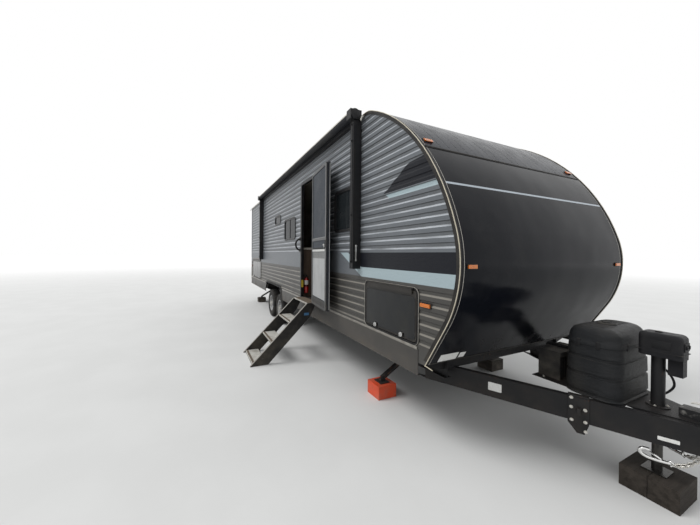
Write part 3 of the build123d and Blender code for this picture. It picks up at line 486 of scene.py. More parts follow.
def on_drawbar(x, z, out=0.0):
    """Point on the outer face of the door-side channel."""
    y = (x - drawbar_tip) * tan(drawbar_turn)
    return Vector((x + out * sin(drawbar_turn), y - out * cos(drawbar_turn), z))


def channel_place(x):
    """Place on that face: first axis along the channel, second into it, third up."""
    turned = Matrix((drawbar_along, -drawbar_out, Vector((0, 0, 1)))).transposed().to_4x4()
    return Matrix.Translation(on_drawbar(x, 0)) @ turned


bracket = Form()
bracket_place = channel_place(-0.715)
bracket.slab([(-0.065, 0.112), (0.060, 0.112), (0.060, -0.090), (0.035, -0.165), (-0.010, -0.165), (-0.065, -0.095)],
             "xz", -0.008, -0.0005, 0.002, 2, bracket_place)
bracket.block((-0.065, 0.060), (-0.008, 0.055), (0.0955, 0.1035), 0.002, 2, bracket_place)
bracket.block((-0.012, 0.012), (-0.050, -0.008), (-0.020, 0.030), 0.004, 2, bracket_place)
bracket.bent([(-0.03, -0.02, -0.12), (0.0, -0.05, -0.12), (0.03, -0.02, -0.12)], 0.006, 0.02)
bracket.finished("levelling_bracket", painted_steel, "frame_paint")
bracket_bolts = Form()
for x, z in ((-0.755, 0.090), (-0.682, 0.017), (-0.752, -0.075), (-0.680, -0.071), (-0.678, -0.140),
             (-0.755, 0.020)):
    bracket_bolts.bolt(on_drawbar(x, z, 0.008), drawbar_out, 0.0150)
for x in (-0.60, -1.05):
    for y in (0.20, -0.20):
        bracket_bolts.bolt((x, y, 0.0991), (0, 0, 1), 0.016)
bracket_bolts.finished("drawbar_bolts", zinc, "bright_alu")

white_label = (Finish("bare_label", (0.72, 0.72, 0.70), 0.45).blotched((0.52, 0.51, 0.48), 0.5, 60, 0.4, 0.75, 5.0)
               .grained(0.0003, 300).weathered(most=0.2).done())
plates = Form()
plate_place = channel_place(-1.223)
plates.slab(pane((-0.052, 0.052), (-0.026, 0.044), 0.006, 3), "xz", -0.0016, -0.0002, 0.0004, 1, plate_place)
for x, z in ((-0.045, -0.019), (-0.045, 0.037), (0.045, -0.019), (0.045, 0.037)):
    plates.turned(((0, 0.0035), (0.001, 0.0035), (0.002, 0)), plate_place @ Vector((x, -0.0016, z)), drawbar_out, 10)
plates.slab(pane((-0.040, 0.058), (-0.049, -0.025), 0.003, 3), "xz", -0.0014, -0.0002, 0.0004, 1, channel_place(-0.317))
plates.finished("bare_plates", white_label, "white_plastic")

# Safety chains. Two short chains of welded, zinc-plated links are fixed under the drawbar behind the coupler
# and hang down to their hooks.
hanging_chain = Form()


def chain(links, start, end, sag, size, wire):
    """Links strung from start to end along a sagging line."""
    start, end = Vector(start), Vector(end)
    for number in range(links):
        t = (number + 0.5) / links
        middle = start.lerp(end, t) - Vector((0, 0, sag * 4 * t * (1 - t)))
        run = (end - start - Vector((0, 0, sag * 4 * (1 - 2 * t)))).normalized()
        across = run.cross(Vector((0, 0, 1)))
        across = (across if across.length > 0.05 else Vector((0, 1, 0))).normalized()
        if number % 2:
            across = across.cross(run).normalized()
        turns = [2 * pi * step / 12 for step in range(12)]
        hanging_chain.bent([middle + run * size * cos(turn) + across * size * 0.62 * sin(turn) for turn in turns],
                           round_bar(wire, 6), closed=True)


for side in (-1, 1):
    chain(13, (-0.150, side * 0.052, -0.010), (-0.300, side * 0.102, -0.212), 0.05, 0.017, 0.0038)
hanging_chain.finished("safety_chains", zinc, "bright_alu")

# Axles and springs. Drop-forged spindles and drum backing plates on round tubes, hung on greasy
# multi-leaf springs by U-bolts; shackle bolts are plated.
axle_paint = (dark_finish("axle_paint", (0.018, 0.017, 0.016), 0.55).grained(0.0006, 260, detail=4.0)
              .blotched((0.15, 0.07, 0.035), 0.65, 22, 0.52, 0.68, 8.0)
              .weathered(dust=(0.17, 0.14, 0.11), most=0.5, low=-0.4, high=0.3))
greasy_steel = clad(axle_paint, "axles", "leaf_springs")
axle_centres, axle_height, spring_y = (-6.400, -7.270), -0.150, 0.860
u_bolts, shackle_bolts = Form(), Form()
for x in axle_centres:
    for side in (-1, 1):
        inner, outer = side * spring_y - 0.029, side * spring_y + 0.029
        for leg_x in about(x, 0.041):
            for y in (inner, outer):
                u_bolts.rod((leg_x, y, axle_height - 0.092), (leg_x, y, axle_height + 0.03), 0.006, 10)
                u_bolts.bolt((leg_x, y, axle_height - 0.080), (0, 0, -1), 0.016)
            u_bolts.bent([(leg_x, inner, axle_height + 0.02), (leg_x, inner, axle_height + 0.046),
                          (leg_x, outer, axle_height + 0.046), (leg_x, outer, axle_height + 0.02)], 0.006, 0.02)
for x in [centre + reach for centre in axle_centres for reach in (0.390, -0.390)]:
    for side in (-1, 1):
        for way in (1, -1):
            shackle_bolts.bolt((x, side * (spring_y + way * 0.030), -0.071), (0, side * way, 0), 0.020)
u_bolts.finished("axle_u_bolts", greasy_steel, "frame_paint")
shackle_bolts.finished("shackle_bolts", zinc, "bright_alu")

# Wheels. Radial trailer tyres, vulcanised with grooved tread and bare sidewalls, on pressed steel
# rims painted silver and held by plated nuts round a dust cap.
rubber_material = (dark_finish("tyre_rubber", (0.016, 0.016, 0.016), 0.75).grained(0.0006, 700, detail=2.0)
                   .blotched((0.075, 0.068, 0.058), 0.5, 9, 0.35, 0.75, 6.0).done())
rim_paint = (Finish("rim_paint", (0.46, 0.47, 0.48), 0.34, 0.6)
             .blotched((0.20, 0.17, 0.13), 0.55, 14, 0.45, 0.72, 7.0).grained(0.0003, 500).weathered(most=0.5))
wheels = [(x, side, f"{end}_{place}") for x, end in zip(axle_centres, ("front", "rear"))
          for side, place in ((-1, "curb"), (1, "street"))]
clad(rim_paint, *("rim_" + name for x, side, name in wheels))
tyre_middle, tread_steps = 1.070, 180
# tyre section from bead to middle: distance from the middle plane, radius, depth of the cross cuts there
wall = ((0.0825, 0.190, 0), (0.094, 0.200, 0), (0.1015, 0.221, 0))
shoulder = ((0.099, 0.324, 0.004), (0.090, 0.336, 0.006), (0.078, 0.3435, 0.007), (0.056, 0.3475, 0.007),
            (0.054, 0.3385, 0), (0.047, 0.3385, 0), (0.045, 0.3485, 0.004), (0.020, 0.3495, 0.004),
            (0.018, 0.3405, 0), (0.011, 0.3405, 0), (0.009, 0.3500, 0))
inner_half = (*wall, (0.1065, 0.250, 0), (0.1075, 0.279, 0), (0.104, 0.306, 0), *shoulder)
outer_half = (*wall, (0.1055, 0.235, 0), (0.104, 0.238, 0), (0.1065, 0.250, 0), (0.1075, 0.279, 0),
              (0.1055, 0.292, 0), (0.1065, 0.296, 0), (0.104, 0.306, 0), *shoulder)
tyre_section = [(-out, radius, cut) for out, radius, cut in inner_half] + list(reversed(outer_half))
for x, side, name in wheels:
    tyre = Form()
    rings = []
    for out, radius, cut in tyre_section:
        reaches = [radius - (0 if n % 3 else cut) for n in range(tread_steps)]
        turns = [2 * pi * n / tread_steps for n in range(tread_steps)]
        rings.append([tyre.mesh.verts.new((x + r * cos(turn), side * (tyre_middle + out), axle_height + r * sin(turn)))
                      for r, turn in zip(reaches, turns)])
    tyre.skin(rings, ends=False).skin([rings[0], rings[-1]], ends=False)
    piece = tyre.finished("treaded_tyre_" + name, rubber_material, "tyre", "wheel_" + name, sharp=28)
    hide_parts("tyre_" + name)
    fixings = Form()
    face = Vector((x, side * (tyre_middle + 0.0795), axle_height))
    for n in range(6):
        turn = 2 * pi * n / 6 + 0.3
        at = face + Vector((0.057 * cos(turn), 0, 0.057 * sin(turn)))
        fixings.turned(((0, 0.013), (0.003, 0.013), (0.003, 0.0105), (0.017, 0.0105), (0.022, 0.006), (0.023, 0)),
                       at, (0, side, 0), 6)
    fixings.turned(((0, 0.036), (0.006, 0.036), (0.008, 0.031), (0.026, 0.030), (0.032, 0.024), (0.033, 0)),
                   face, (0, side, 0), 28)
    valve_turn = 1.1
    valve = (x + 0.150 * cos(valve_turn), side * (tyre_middle + 0.036), axle_height + 0.150 * sin(valve_turn))
    fixings.turned(((0, 0.006), (0.024, 0.0045), (0.024, 0.006), (0.034, 0.006), (0.035, 0)), valve,
                   (-0.2 * cos(valve_turn), side, -0.2 * sin(valve_turn)), 12)
    fixings.finished("wheel_nuts_" + name, zinc, "bright_alu", "wheel_" + name)

# Floor. A laminated deck with printed plank vinyl above and a sealed black belly sheet below; the wheel
# wells are black moulded boxes let into it.
deck = Finish("deck_and_belly", (0.022, 0.022, 0.023), 0.6)
deck.relief(deck.ramp(deck.work("SINE", deck.work("MULTIPLY", deck.y, 600.0)), -0.6, 0.6), 0.0012)
deck.blotched((0.10, 0.085, 0.065), 0.4, 5, 0.4, 0.7, 5.0)
deck_top = deck.above(deck.z, 0.328, 0.001)
plank = deck.work("FRACT", deck.work("MULTIPLY", deck.y, 6.6))
deck.tint(deck_top, (0.21, 0.16, 0.12))
deck.tint(deck.both(deck_top, deck.patches(30, 0.35, 0.7, 6.0, stretch=(0.06, 1, 1))), (0.13, 0.095, 0.07), 0.8)
deck.tint(deck.both(deck_top, deck.work("LESS_THAN", plank, 0.02)), (0.05, 0.04, 0.03), 0.8)
deck.dull(deck_top, 0.4)
clad(deck, "floor")
well_plastic = (dark_finish("well_plastic", (0.012, 0.012, 0.013), 0.6).grained(0.0008, 350)
                .weathered(most=0.4, high=0.5))
clad(well_plastic, "wheel_wells")


# Siding. Corrugated aluminium sheet over a timber and foam core: silver grey above, bronze grey below, a
# smooth belt between them with vinyl stripes, and pale wallboard inside.
def siding_finish(name, outside):
    """Painted sheet metal with painted highlights on the upward rib shoulders, painted shade on the downward slopes,
    and dirt in the hollows.
    """
    sheet = Finish(name, (0.142, 0.154, 0.167), 0.36, 0.2, Specular_IOR_Level=0.15)
    sheet.blotched((0.122, 0.132, 0.144), 0.8, 2.2, 0.3, 0.75, 4.0, stretch=(0.25, 0.25, 1.6))
    low_colour = sheet.rest(sheet.above(sheet.z, 0.898, 0.002))
    sheet.tint(low_colour, (0.074, 0.072, 0.068))
    faded = sheet.patches(2.5, 0.3, 0.75, 4.0, stretch=(0.25, 0.25, 2.0))
    sheet.tint(sheet.both(low_colour, faded), (0.062, 0.059, 0.055), 0.7)
    rise = sheet.faces(2)
    # Painted highlight: the upward-facing rib shoulders are tinted pale in patches, silver above the belt and tan below
    # it.
    shoulder = sheet.both(sheet.ramp(rise, 0.03, 0.22), sheet.patches(5, 0.15, 0.6, 5.0, stretch=(0.4, 0.4, 2.0)))
    sheet.tint(sheet.without(shoulder, low_colour), (0.46, 0.485, 0.515), 0.85)
    sheet.tint(sheet.both(shoulder, low_colour), (0.25, 0.235, 0.205), 0.8)
    # Painted shade: the downward-facing rib slopes are tinted dark.
    sheet.tint(sheet.ramp(sheet.work("MULTIPLY", rise, -1.0), 0.03, 0.22), (0.062, 0.062, 0.060), 0.65)
    hollows = sheet.rest(outside(sheet, 0.0045))
    sheet.tint(sheet.both(hollows, sheet.patches(11, 0.2, 0.8, 6.0)), (0.075, 0.072, 0.066), 0.35)
    sheet.grained(0.0010, 16, 0.25, 0.8, stretch=(1, 1, 3))
    sheet.grained(0.00012, 900, detail=1.0)
    streaks = sheet.both(sheet.patches(34, 0.52, 0.75, 5.0, stretch=(1, 1, 0.05)), sheet.patches(1.6, 0.4, 0.7))
    sheet.tint(streaks, (0.085, 0.080, 0.072), 0.3)
    return sheet


def stripes(sheet):
    """Cut-vinyl bands near the front: a dark one over a pale one, a swept pair higher up, black panel edges."""
    forward, pale, black = sheet.x, (0.33, 0.405, 0.430), (0.010, 0.011, 0.015)
    line = sheet.work("MULTIPLY_ADD", forward, -0.5, 1.173 - 0.5 * 2.80)
    dark_low = sheet.work("MAXIMUM", line, 1.002)
    pale_low = sheet.work("MAXIMUM", sheet.work("SUBTRACT", line, 0.5 * 0.214), 0.894)
    top = sheet.rest(sheet.above(sheet.z, 1.168, 0.001))
    over_dark = sheet.above(sheet.work("SUBTRACT", sheet.z, dark_low), 0.0, 0.001)
    over_pale = sheet.above(sheet.work("SUBTRACT", sheet.z, pale_low), 0.0, 0.001)
    sheet.tint(sheet.both(top, over_pale), pale)
    sheet.tint(sheet.both(top, over_dark), black)
    slope = sheet.work("MULTIPLY_ADD", forward, 0.550, 1.758 + 0.550 * 2.026)
    crest = sheet.work("MULTIPLY_ADD", forward, 0.071, 1.971 + 0.071 * 1.639)
    below = sheet.work("SUBTRACT", sheet.work("MINIMUM", slope, crest), sheet.z)
    sweep = sheet.both(sheet.above(below, 0.0, 0.001), sheet.above(sheet.z, 1.758, 0.001))
    sheet.tint(sweep, black)
    tip = sheet.work("ADD", forward, sheet.work("MULTIPLY", sheet.z, 1.64))
    under = sheet.both(sheet.between(sheet.z, 1.700, 1.744, 0.001), sheet.above(tip, 1.742 * 1.64 - 1.99, 0.002))
    sheet.tint(under, pale)
    cut_edge = sheet.rest(sheet.ramp(sheet.work("ABSOLUTE", sheet.faces(1)), 0.25, 0.45))
    sheet.tint(cut_edge, (0.0065, 0.0070, 0.0090))
    high_pair = sheet.work("MAXIMUM", sheet.both(top, over_pale), sweep)
    vinyl = sheet.work("MAXIMUM", high_pair, sheet.work("MAXIMUM", under, cut_edge))
    sheet.dull(vinyl, 0.42)
    join(sheet.work("MULTIPLY_ADD", vinyl, -0.2, 0.2), sheet.shader.inputs["Metallic"])


def wallboard(sheet, room):
    sheet.tint(room, (0.60, 0.57, 0.52))
    sheet.tint(sheet.both(room, sheet.patches(40, 0.4, 0.7, 5.0, stretch=(1, 1, 0.05))), (0.52, 0.49, 0.44), 0.6)
    sheet.dull(room, 0.6)


half_width, rear_end = 1.219, -10.153


def side_face(sheet, depth):
    return sheet.above(sheet.work("ABSOLUTE", sheet.y), half_width - depth, 0.0008)


def rear_face(sheet, depth):
    return sheet.above(sheet.work("MULTIPLY", sheet.x, -1.0), -rear_end - depth, 0.0008)


side_siding = siding_finish("side_siding", side_face)
stripes(side_siding)
wallboard(side_siding, side_siding.work("LESS_THAN", side_siding.work("ABSOLUTE", side_siding.y), 1.178))
side_siding.weathered(dust=(0.17, 0.155, 0.135), most=0.3, low=-0.2, high=0.8)
clad(side_siding, "curb_wall", "street_wall")
rear_siding = siding_finish("rear_siding", rear_face)
wallboard(rear_siding, rear_siding.work("GREATER_THAN", rear_siding.x, -10.113))
rear_siding.weathered(dust=(0.17, 0.155, 0.135), most=0.3, low=-0.2, high=0.8)
clad(rear_siding, "rear_wall")

# Front. One moulded fibreglass skin in gloss black, smooth up to the seam and finely fluted above it, with a
# thin pale stripe of cut vinyl across it.
front_skin = (Finish("front_skin", (0.0055, 0.0065, 0.0095), 0.10, Specular_IOR_Level=0.09)
              .grained(0.006, 1.3, 0.2, 0.8, 2.0).grained(0.00004, 1200, detail=1.0))
upper_front = front_skin.above(front_skin.z, 2.068, 0.003)
# Painted reflection: above the seam the black skin is tinted blue for the sky it faces.
front_skin.tint(upper_front, (0.0115, 0.0150, 0.0230))
flutes = front_skin.work("PINGPONG", front_skin.y, 0.055)
front_skin.relief(front_skin.both(upper_front, front_skin.ramp(flutes, 0.0, 0.006)), 0.0025)
front_skin.dull(upper_front, 0.22)
front_stripe = front_skin.between(front_skin.z, 1.706, 1.724, 0.0008)
front_skin.tint(front_stripe, (0.47, 0.52, 0.57))
front_skin.blotched((0.05, 0.048, 0.045), 0.10, 7, 0.45, 0.8, 7.0)
front_skin.rubbed(0.16, 3, 0.4, 0.8, 5.0)
front_skin.weathered(dust=(0.09, 0.08, 0.07), most=0.2, low=0.1, high=0.8)
clad(front_skin, "front_cap")


# Corner mouldings. Extruded aluminium caps over the joints of sides, front, roof and rear, painted dark,
# screwed every 150 mm, with a cream vinyl strip pressed in along the corner.
roof_height = 2.738


def body_line(grow=0.0, steps=14):
    """Side-view points of the shell from under the nose over the roof to the rear foot, grown outwards."""
    def arc(start, first, last, radius):
        turns = [radians(first + (last - first) * n / steps) for n in range(steps + 1)]
        a = radians(first)
        spots = [(start[0] + radius * (sin(t) - sin(a)), start[1] + radius * (cos(a) - cos(t))) for t in turns]
        return [(x + grow * sin(t), z - grow * cos(t), x, z) for (x, z), t in zip(spots, turns)]
    nose_x, nose_z, foot_z = -1.053, 1.075, 0.230
    chin_radius, chin, brow_turn, crown_turn, crown_radius = 0.941, 59, 106, 155, 0.360
    chin_start = (nose_x - chin_radius * (1 - sin(radians(chin))), nose_z - chin_radius * cos(radians(chin)))
    drop = chin_start[1] - foot_z
    low = (chin_start[0] - drop / tan(radians(chin)), foot_z)
    nose = arc(chin_start, chin, brow_turn, chin_radius)
    rise = roof_height - nose_z + chin_radius * cos(radians(brow_turn)) - crown_radius * (cos(radians(crown_turn)) + 1)
    brow_radius = rise / (cos(radians(brow_turn)) - cos(radians(crown_turn)))
    brow = arc(nose[-1][2:], brow_turn, crown_turn, brow_radius)
    crown = arc(brow[-1][2:], crown_turn, 180, crown_radius)
    lean = radians(chin)
    path = [(low[0] + grow * sin(lean), low[1] - grow * cos(lean))]
    path += [p[:2] for p in nose] + [p[:2] for p in brow[1:]] + [p[:2] for p in crown[1:]]
    return path + [(rear_end - grow, roof_height + grow), (rear_end - grow, 0.280)]


def front_face(z, grow=0.0):
    """Forward reach of the nose at a height, and the direction its skin faces there."""
    line = body_line(grow, 40)
    for (x0, z0), (x1, z1) in zip(line, line[1:]):
        if z0 <= z <= z1:
            t = (z - z0) / (z1 - z0)
            return x0 + (x1 - x0) * t, Vector((z1 - z0, 0, x0 - x1)).normalized()


def front_place(z, y=0):
    """Place on the front skin: first axis up along it, second across, third straight out of it."""
    x, out = front_face(z)
    turned = Matrix((Vector((-out.z, 0, out.x)), Vector((0, 1, 0)), out)).transposed().to_4x4()
    return Matrix.Translation((x, y, z)) @ turned


moulding = (dark_finish("corner_moulding", (0.015, 0.014, 0.0135), 0.4)
            .blotched((0.040, 0.036, 0.031), 0.5, 8, 0.4, 0.75, 6.0).grained(0.0003, 500, detail=2.0)
            .weathered(dust=(0.12, 0.105, 0.085), most=0.25, low=0.0, high=1.5))
dark_trim = clad(moulding, "edge_trim")
cream_vinyl = (Finish("cream_strip", (0.56, 0.51, 0.40), 0.5).blotched((0.42, 0.37, 0.28), 0.6, 12, 0.45, 0.75, 6.0)
               .grained(0.0003, 500).done())
corner_line = body_line(0.004)
for side, name in ((-1, "curb"), (1, "street")):
    strip = Form()
    path = [(-1.313, side * 1.2215, 0.2225), (-1.400, side * 1.2225, 0.2335)]
    path += [(x, side * 1.2225, z) for x, z in corner_line[:-2]] + [(-10.10, side * 1.2225, 2.7420)]
    strip.bent(path, [(a * 0.0038, b * 0.0032) for a, b in ((1, 0), (0.7, 0.8), (0, 1), (-0.7, 0.8), (-1, 0),
                                                           (-0.7, -0.8), (0, -1), (0.7, -0.8))])
    strip.finished("corner_strip_" + name, cream_vinyl, "trim", sharp=50)
moulding_screws = Form()
inset_line = body_line(-0.014, 8)
for side in (-1, 1):
    walked = 0.0
    for (x0, z0), (x1, z1) in zip(inset_line, inset_line[1:]):
        length = hypot(x1 - x0, z1 - z0)
        while walked < length:
            t = walked / length
            at = (x0 + (x1 - x0) * t, side * 1.2228, z0 + (z1 - z0) * t)
            if at[2] > 0.29:
                moulding_screws.screw(at, (0, side, 0))
            walked += 0.150
        walked -= length
moulding_screws.finished("moulding_screws", dark_trim, "black_trim")
front_seam = Form()
front_seam.block((-0.013, 0.013), (-1.186, 1.186), (-0.002, 0.0045), 0.002, 2, front_place(2.068))
front_seam.block((-0.005, 0.005), (-1.186, 1.186), (0.003, 0.0075), 0.002, 2, front_place(2.068))
front_seam.finished("front_seam", dark_trim, "black_trim")
nose_foot = Form()
foot_place = front_place(0.2375)
nose_foot.block((-0.006, 0.006), (-1.172, 1.172), (0.0002, 0.0035), 0.0012, 2, foot_place)
for y in range(-11, 12):
    nose_foot.turned(((0, 0.005), (0.002, 0.004), (0.003, 0)), foot_place @ Vector((0, y * 0.1, 0.0035)),
                     foot_place.col[2].to_3d(), 8)
nose_foot.finished("nose_foot_strip", dark_trim, "black_trim")
front_plates = Form()
for y, low, high in (((-1.092, -0.882), 0.244, 0.315), ((-0.860, -0.790), 0.252, 0.304)):
    plate_place = front_place((low + high) / 2)
    half_high = (high - low) / 2 / plate_place.col[2].x
    front_plates.block((-half_high, half_high), y, (0.0002, 0.0016), 0.0005, 1, plate_place)
front_plates.finished("front_bare_labels", white_label, "white_plastic")

# Roof. White rubber membrane rolled over the deck and up to the corner mouldings, with lap sealant at its
# ends; a gutter rail along each side ends in plastic spouts.
membrane = (Finish("roof_membrane", (0.70, 0.70, 0.68), 0.75)
            .blotched((0.45, 0.43, 0.39), 0.55, 3, 0.4, 0.75, 7.0, stretch=(0.4, 2.5, 1))
            .blotched((0.28, 0.26, 0.22), 0.4, 40, 0.6, 0.75).grained(0.002, 12).grained(0.0004, 600))
wallboard(membrane, membrane.work("LESS_THAN", membrane.z, 2.693))
clad(membrane, "roof")
sealant = (Finish("lap_sealant", (0.62, 0.62, 0.59), 0.55).grained(0.002, 60, detail=4.0)
           .blotched((0.44, 0.42, 0.38), 0.6, 20, 0.4, 0.7, 5.0))
sealant_material = sealant.done()
sealant_beads = Form()
bead = [(0.022, 0), (0.015, 0.003), (0, 0.0045), (-0.015, 0.003), (-0.022, 0)]
for x in (-2.425, -10.123):
    sealant_beads.bent([(x, y * 0.115, 2.7375) for y in range(-10, 11)], bead)
vent_places, reach = (-3.1, -8.2), 0.225
for x in vent_places:
    corners = [(x - reach, -reach), (x + reach, -reach), (x + reach, reach), (x - reach, reach)]
    sealant_beads.bent([(a, b, 2.7375) for a, b in corners], bead, closed=True)
sealant_beads.finished("lap_sealant_beads", sealant_material, "roof_skin", sharp=60)
gutter = (Finish("gutter_rail", (0.55, 0.54, 0.50), 0.4, 0.3)
          .blotched((0.33, 0.31, 0.27), 0.6, 6, 0.4, 0.75, 6.0, stretch=(0.3, 1, 1)).grained(0.0003, 400))
gutter_material = gutter.done()
gutters = Form()
gutter_section = ((0.0, 0.0), (0.0, 0.022), (0.004, 0.022), (0.004, 0.004), (0.017, 0.004), (0.017, 0.013),
                  (0.020, 0.013), (0.020, 0.0))
for side, runs in ((-1, ((-10.14, -8.21), (-2.465, -2.42))), (1, ((-10.14, -2.42),))):
    for x0, x1 in runs:
        gutters.slab([(side * (1.2235 + a), 2.706 + b) for a, b in gutter_section], "yz", x0, x1, 0.0008, 1)
    for x, reach in ((-10.14, -0.05), (-2.42, 0.05)):
        gutters.bent([(x - reach * 0.3, side * 1.236, 2.718), (x, side * 1.242, 2.712),
                      (x + reach * 0.2, side * 1.262, 2.678), (x + reach * 0.3, side * 1.272, 2.653)], 0.009, 0.02)
gutters.finished("gutter_rails", gutter_material, "trim")

# Skirts. Smooth bronze aluminium sheet, folded under at the foot, hung below the siding under a bright
# J-moulding with screws along it.
bronze = (Finish("skirt_bronze", (0.050, 0.048, 0.045), 0.40, 0.2, Specular_IOR_Level=0.3)
          .blotched((0.080, 0.072, 0.063), 0.7, 3, 0.3, 0.75, 5.0, stretch=(0.4, 1, 1))
          .grained(0.006, 2.5, 0.2, 0.8, 2.0).grained(0.0002, 700)
          .weathered(dust=(0.17, 0.148, 0.12), most=0.45, low=0.05, high=0.30))
clad(bronze, "skirts")
bright_moulding = (Finish("j_moulding", (0.30, 0.285, 0.255), 0.33, 0.65)
                   .blotched((0.16, 0.14, 0.12), 0.6, 15, 0.4, 0.75, 6.0).grained(0.0003, 500).done())
j_mouldings, skirt_top = Form(), 0.350
j_section = ((0.005, -0.012), (0.0065, -0.012), (0.0085, -0.006), (0.0085, 0.006), (0.0065, 0.012), (0.0, 0.012),
             (0.0, 0.004), (0.005, 0.002))
for side, runs in ((-1, ((-10.10, -7.735), (-5.935, -4.700), (-3.815, -1.495))),
                   (1, ((-10.10, -7.735), (-5.935, -1.495)))):
    for x0, x1 in runs:
        j_mouldings.slab([(side * (half_width + a), skirt_top + b) for a, b in j_section], "yz", x0, x1)
        count = int((x1 - x0) / 0.2)
        for n in range(count):
            j_mouldings.screw((x0 + (n + 0.5) * (x1 - x0) / count, side * 1.2275, skirt_top), (0, side, 0))
j_mouldings.finished("skirt_mouldings", bright_moulding, "trim")

# Windows. Black extruded frames clamped through the wall, dark tinted panes in rubber gaskets, a sliding
# meeting bar in the wide ones and a pleated shade behind each.
frame_black = (dark_finish("window_frame_black", (0.011, 0.011, 0.012), 0.35).grained(0.0003, 600, detail=2.0)
               .blotched((0.05, 0.046, 0.04), 0.5, 18, 0.45, 0.75, 6.0))
frame_material = clad(frame_black, "window_frames")
tinted = (Finish("tinted_pane", (0.016, 0.019, 0.021), 0.04, Transmission_Weight=0.1, Specular_IOR_Level=0.06)
          .blotched((0.045, 0.046, 0.045), 0.3, 5, 0.45, 0.8, 6.0).rubbed(0.09, 9, 0.4, 0.8, 5.0))
clad(tinted, "window_glass")
# side, then the span along the trailer and the span in height
windows = ((-1, -3.180, -2.620, 1.455, 1.963), (-1, -5.770, -5.020, 1.450, 1.855),
           (-1, -6.650, -6.150, 1.850, 2.025), (1, -3.180, -2.620, 1.455, 1.963),
           (1, -6.100, -4.700, 1.200, 1.930), (1, -8.900, -8.140, 1.450, 1.930))


def loop(form, y, x, z, grow, radius, section):
    """Bar run round an opening, grown by so much, in the plane at y."""
    outline = pane((x[0] - grow, x[1] + grow), (z[0] - grow, z[1] + grow), radius)
    form.bent([(a, y, b) for a, b in outline], section, closed=True)


gaskets, window_bars, shades = Form(), Form(), Form()
for side, x0, x1, z0, z1 in windows:
    loop(gaskets, side * 1.2135, (x0, x1), (z0, z1), -0.012, 0.048, round_bar(0.0045, 8))
    loop(gaskets, side * 1.2265, (x0, x1), (z0, z1), 0.016, 0.076, round_bar(0.003, 6))
    if x1 - x0 > 0.6:
        middle = (x0 + x1) / 2
        window_bars.block(about(middle, 0.013), (side * 1.2025, side * 1.2215),
                          (z0 + 0.006, z1 - 0.006), 0.003)
        window_bars.block((middle + 0.016, middle + 0.030), (side * 1.2145, side * 1.2205),
                          (z0 + 0.16, z0 + 0.22), 0.002)
    drop = 0.25 * (z1 - z0)
    for fold in range(9):
        low = z1 - drop * (fold + 1) / 9
        shades.slab([(side * 1.186, low), (side * 1.177, low + drop / 18), (side * 1.186, low + drop / 9)], "yz",
                    x0 + 0.015, x1 - 0.015)
gaskets.finished("window_gaskets", frame_material, "black_trim")
window_bars.finished("window_bars", frame_material, "black_trim")
shade_cloth = (Finish("pleated_shade", (0.060, 0.062, 0.064), 0.85).grained(0.0005, 900)
               .blotched((0.11, 0.105, 0.10), 0.6, 20, 0.4, 0.7))
shades.finished("window_shades", shade_cloth.done(), "white_plastic", sharp=15)

# Door frame and doors. A black extruded frame with a bright sill, the insulated entry leaf, and the
# aluminium screen door nested on it; both swing on one hinge line at the front jamb.
door_frame_paint = dark_finish("door_frame_paint", (0.012, 0.012, 0.014), 0.36).grained(0.0003, 500)
sill_metal = door_frame_paint.rest(door_frame_paint.above(door_frame_paint.z, 0.3425, 0.001))
door_frame_paint.tint(sill_metal, (0.50, 0.49, 0.46))
door_frame_paint.blotched((0.05, 0.046, 0.04), 0.5, 14, 0.45, 0.75, 6.0)
clad(door_frame_paint, "door_frame")
door_pin = Vector((-3.859, -1.236, 0))
door_open = Matrix.Translation(door_pin) @ Matrix.Rotation(radians(174), 4, "Z") @ Matrix.Translation(-door_pin)
leaf_skin = (Finish("entry_leaf_skin", (0.016, 0.019, 0.027), 0.30, Specular_IOR_Level=0.3)
             .grained(0.0006, 350, stretch=(1, 1, 0.4)).grained(0.003, 2, 0.2, 0.8)
             .blotched((0.030, 0.031, 0.036), 0.5, 9, 0.4, 0.8, 6.0)
             .weathered(dust=(0.12, 0.11, 0.095), most=0.2, low=0.3, high=1.0))
clad(leaf_skin, "entry_door")
clad(tinted, "entry_glass")
aluminium = (Finish("screen_aluminium", (0.60, 0.60, 0.585), 0.30, 0.85)
             .grained(0.0003, 500, detail=2.0, stretch=(1, 1, 0.04))
             .blotched((0.42, 0.40, 0.36), 0.6, 10, 0.4, 0.8, 6.0).rubbed(0.45, 30, 0.4, 0.8))
bright_aluminium = aluminium.done()
screen_frame = (Finish("screen_frame", (0.052, 0.055, 0.060), 0.34, 0.55)
                .grained(0.0003, 500, detail=2.0, stretch=(1, 1, 0.04))
                .blotched((0.085, 0.078, 0.066), 0.6, 10, 0.4, 0.8, 6.0)
                .weathered(dust=(0.16, 0.14, 0.11), most=0.3, low=0.3, high=0.8))
clad(screen_frame, "screen_door")
insect_mesh = dark_finish("insect_mesh", (0.040, 0.047, 0.058), 0.6)
strands = [insect_mesh.work("PINGPONG", way, 0.0008) for way in (insect_mesh.z, insect_mesh.x)]
strand = insect_mesh.work("MINIMUM", *strands)
insect_mesh.relief(insect_mesh.ramp(strand, 0.0, 0.0006), 0.0006)
insect_mesh.blotched((0.075, 0.080, 0.088), 0.6, 4, 0.35, 0.75, 5.0)
clad(insect_mesh, "screen_mesh")
leaf_x0, leaf_x1, leaf_z0, leaf_z1 = -4.630, -3.885, 0.375, 2.385
leaf_seal = Form()
for y, inset, z, radius, section in ((-1.1865, 0.012, (leaf_z0 + 0.012, leaf_z1 - 0.012), 0.024, round_bar(0.0026, 8)),
                                     (-1.2235, 0.118, (1.388, 2.012), 0.05, flat_bar(0.012, 0.0035))):
    outline = pane((leaf_x0 + inset, leaf_x1 - inset), z, radius)
    leaf_seal.bent([door_open @ Vector((a, y, b)) for a, b in outline], section, closed=True)
leaf_seal.finished("entry_door_seals", frame_material, "black_trim", "entry_door")
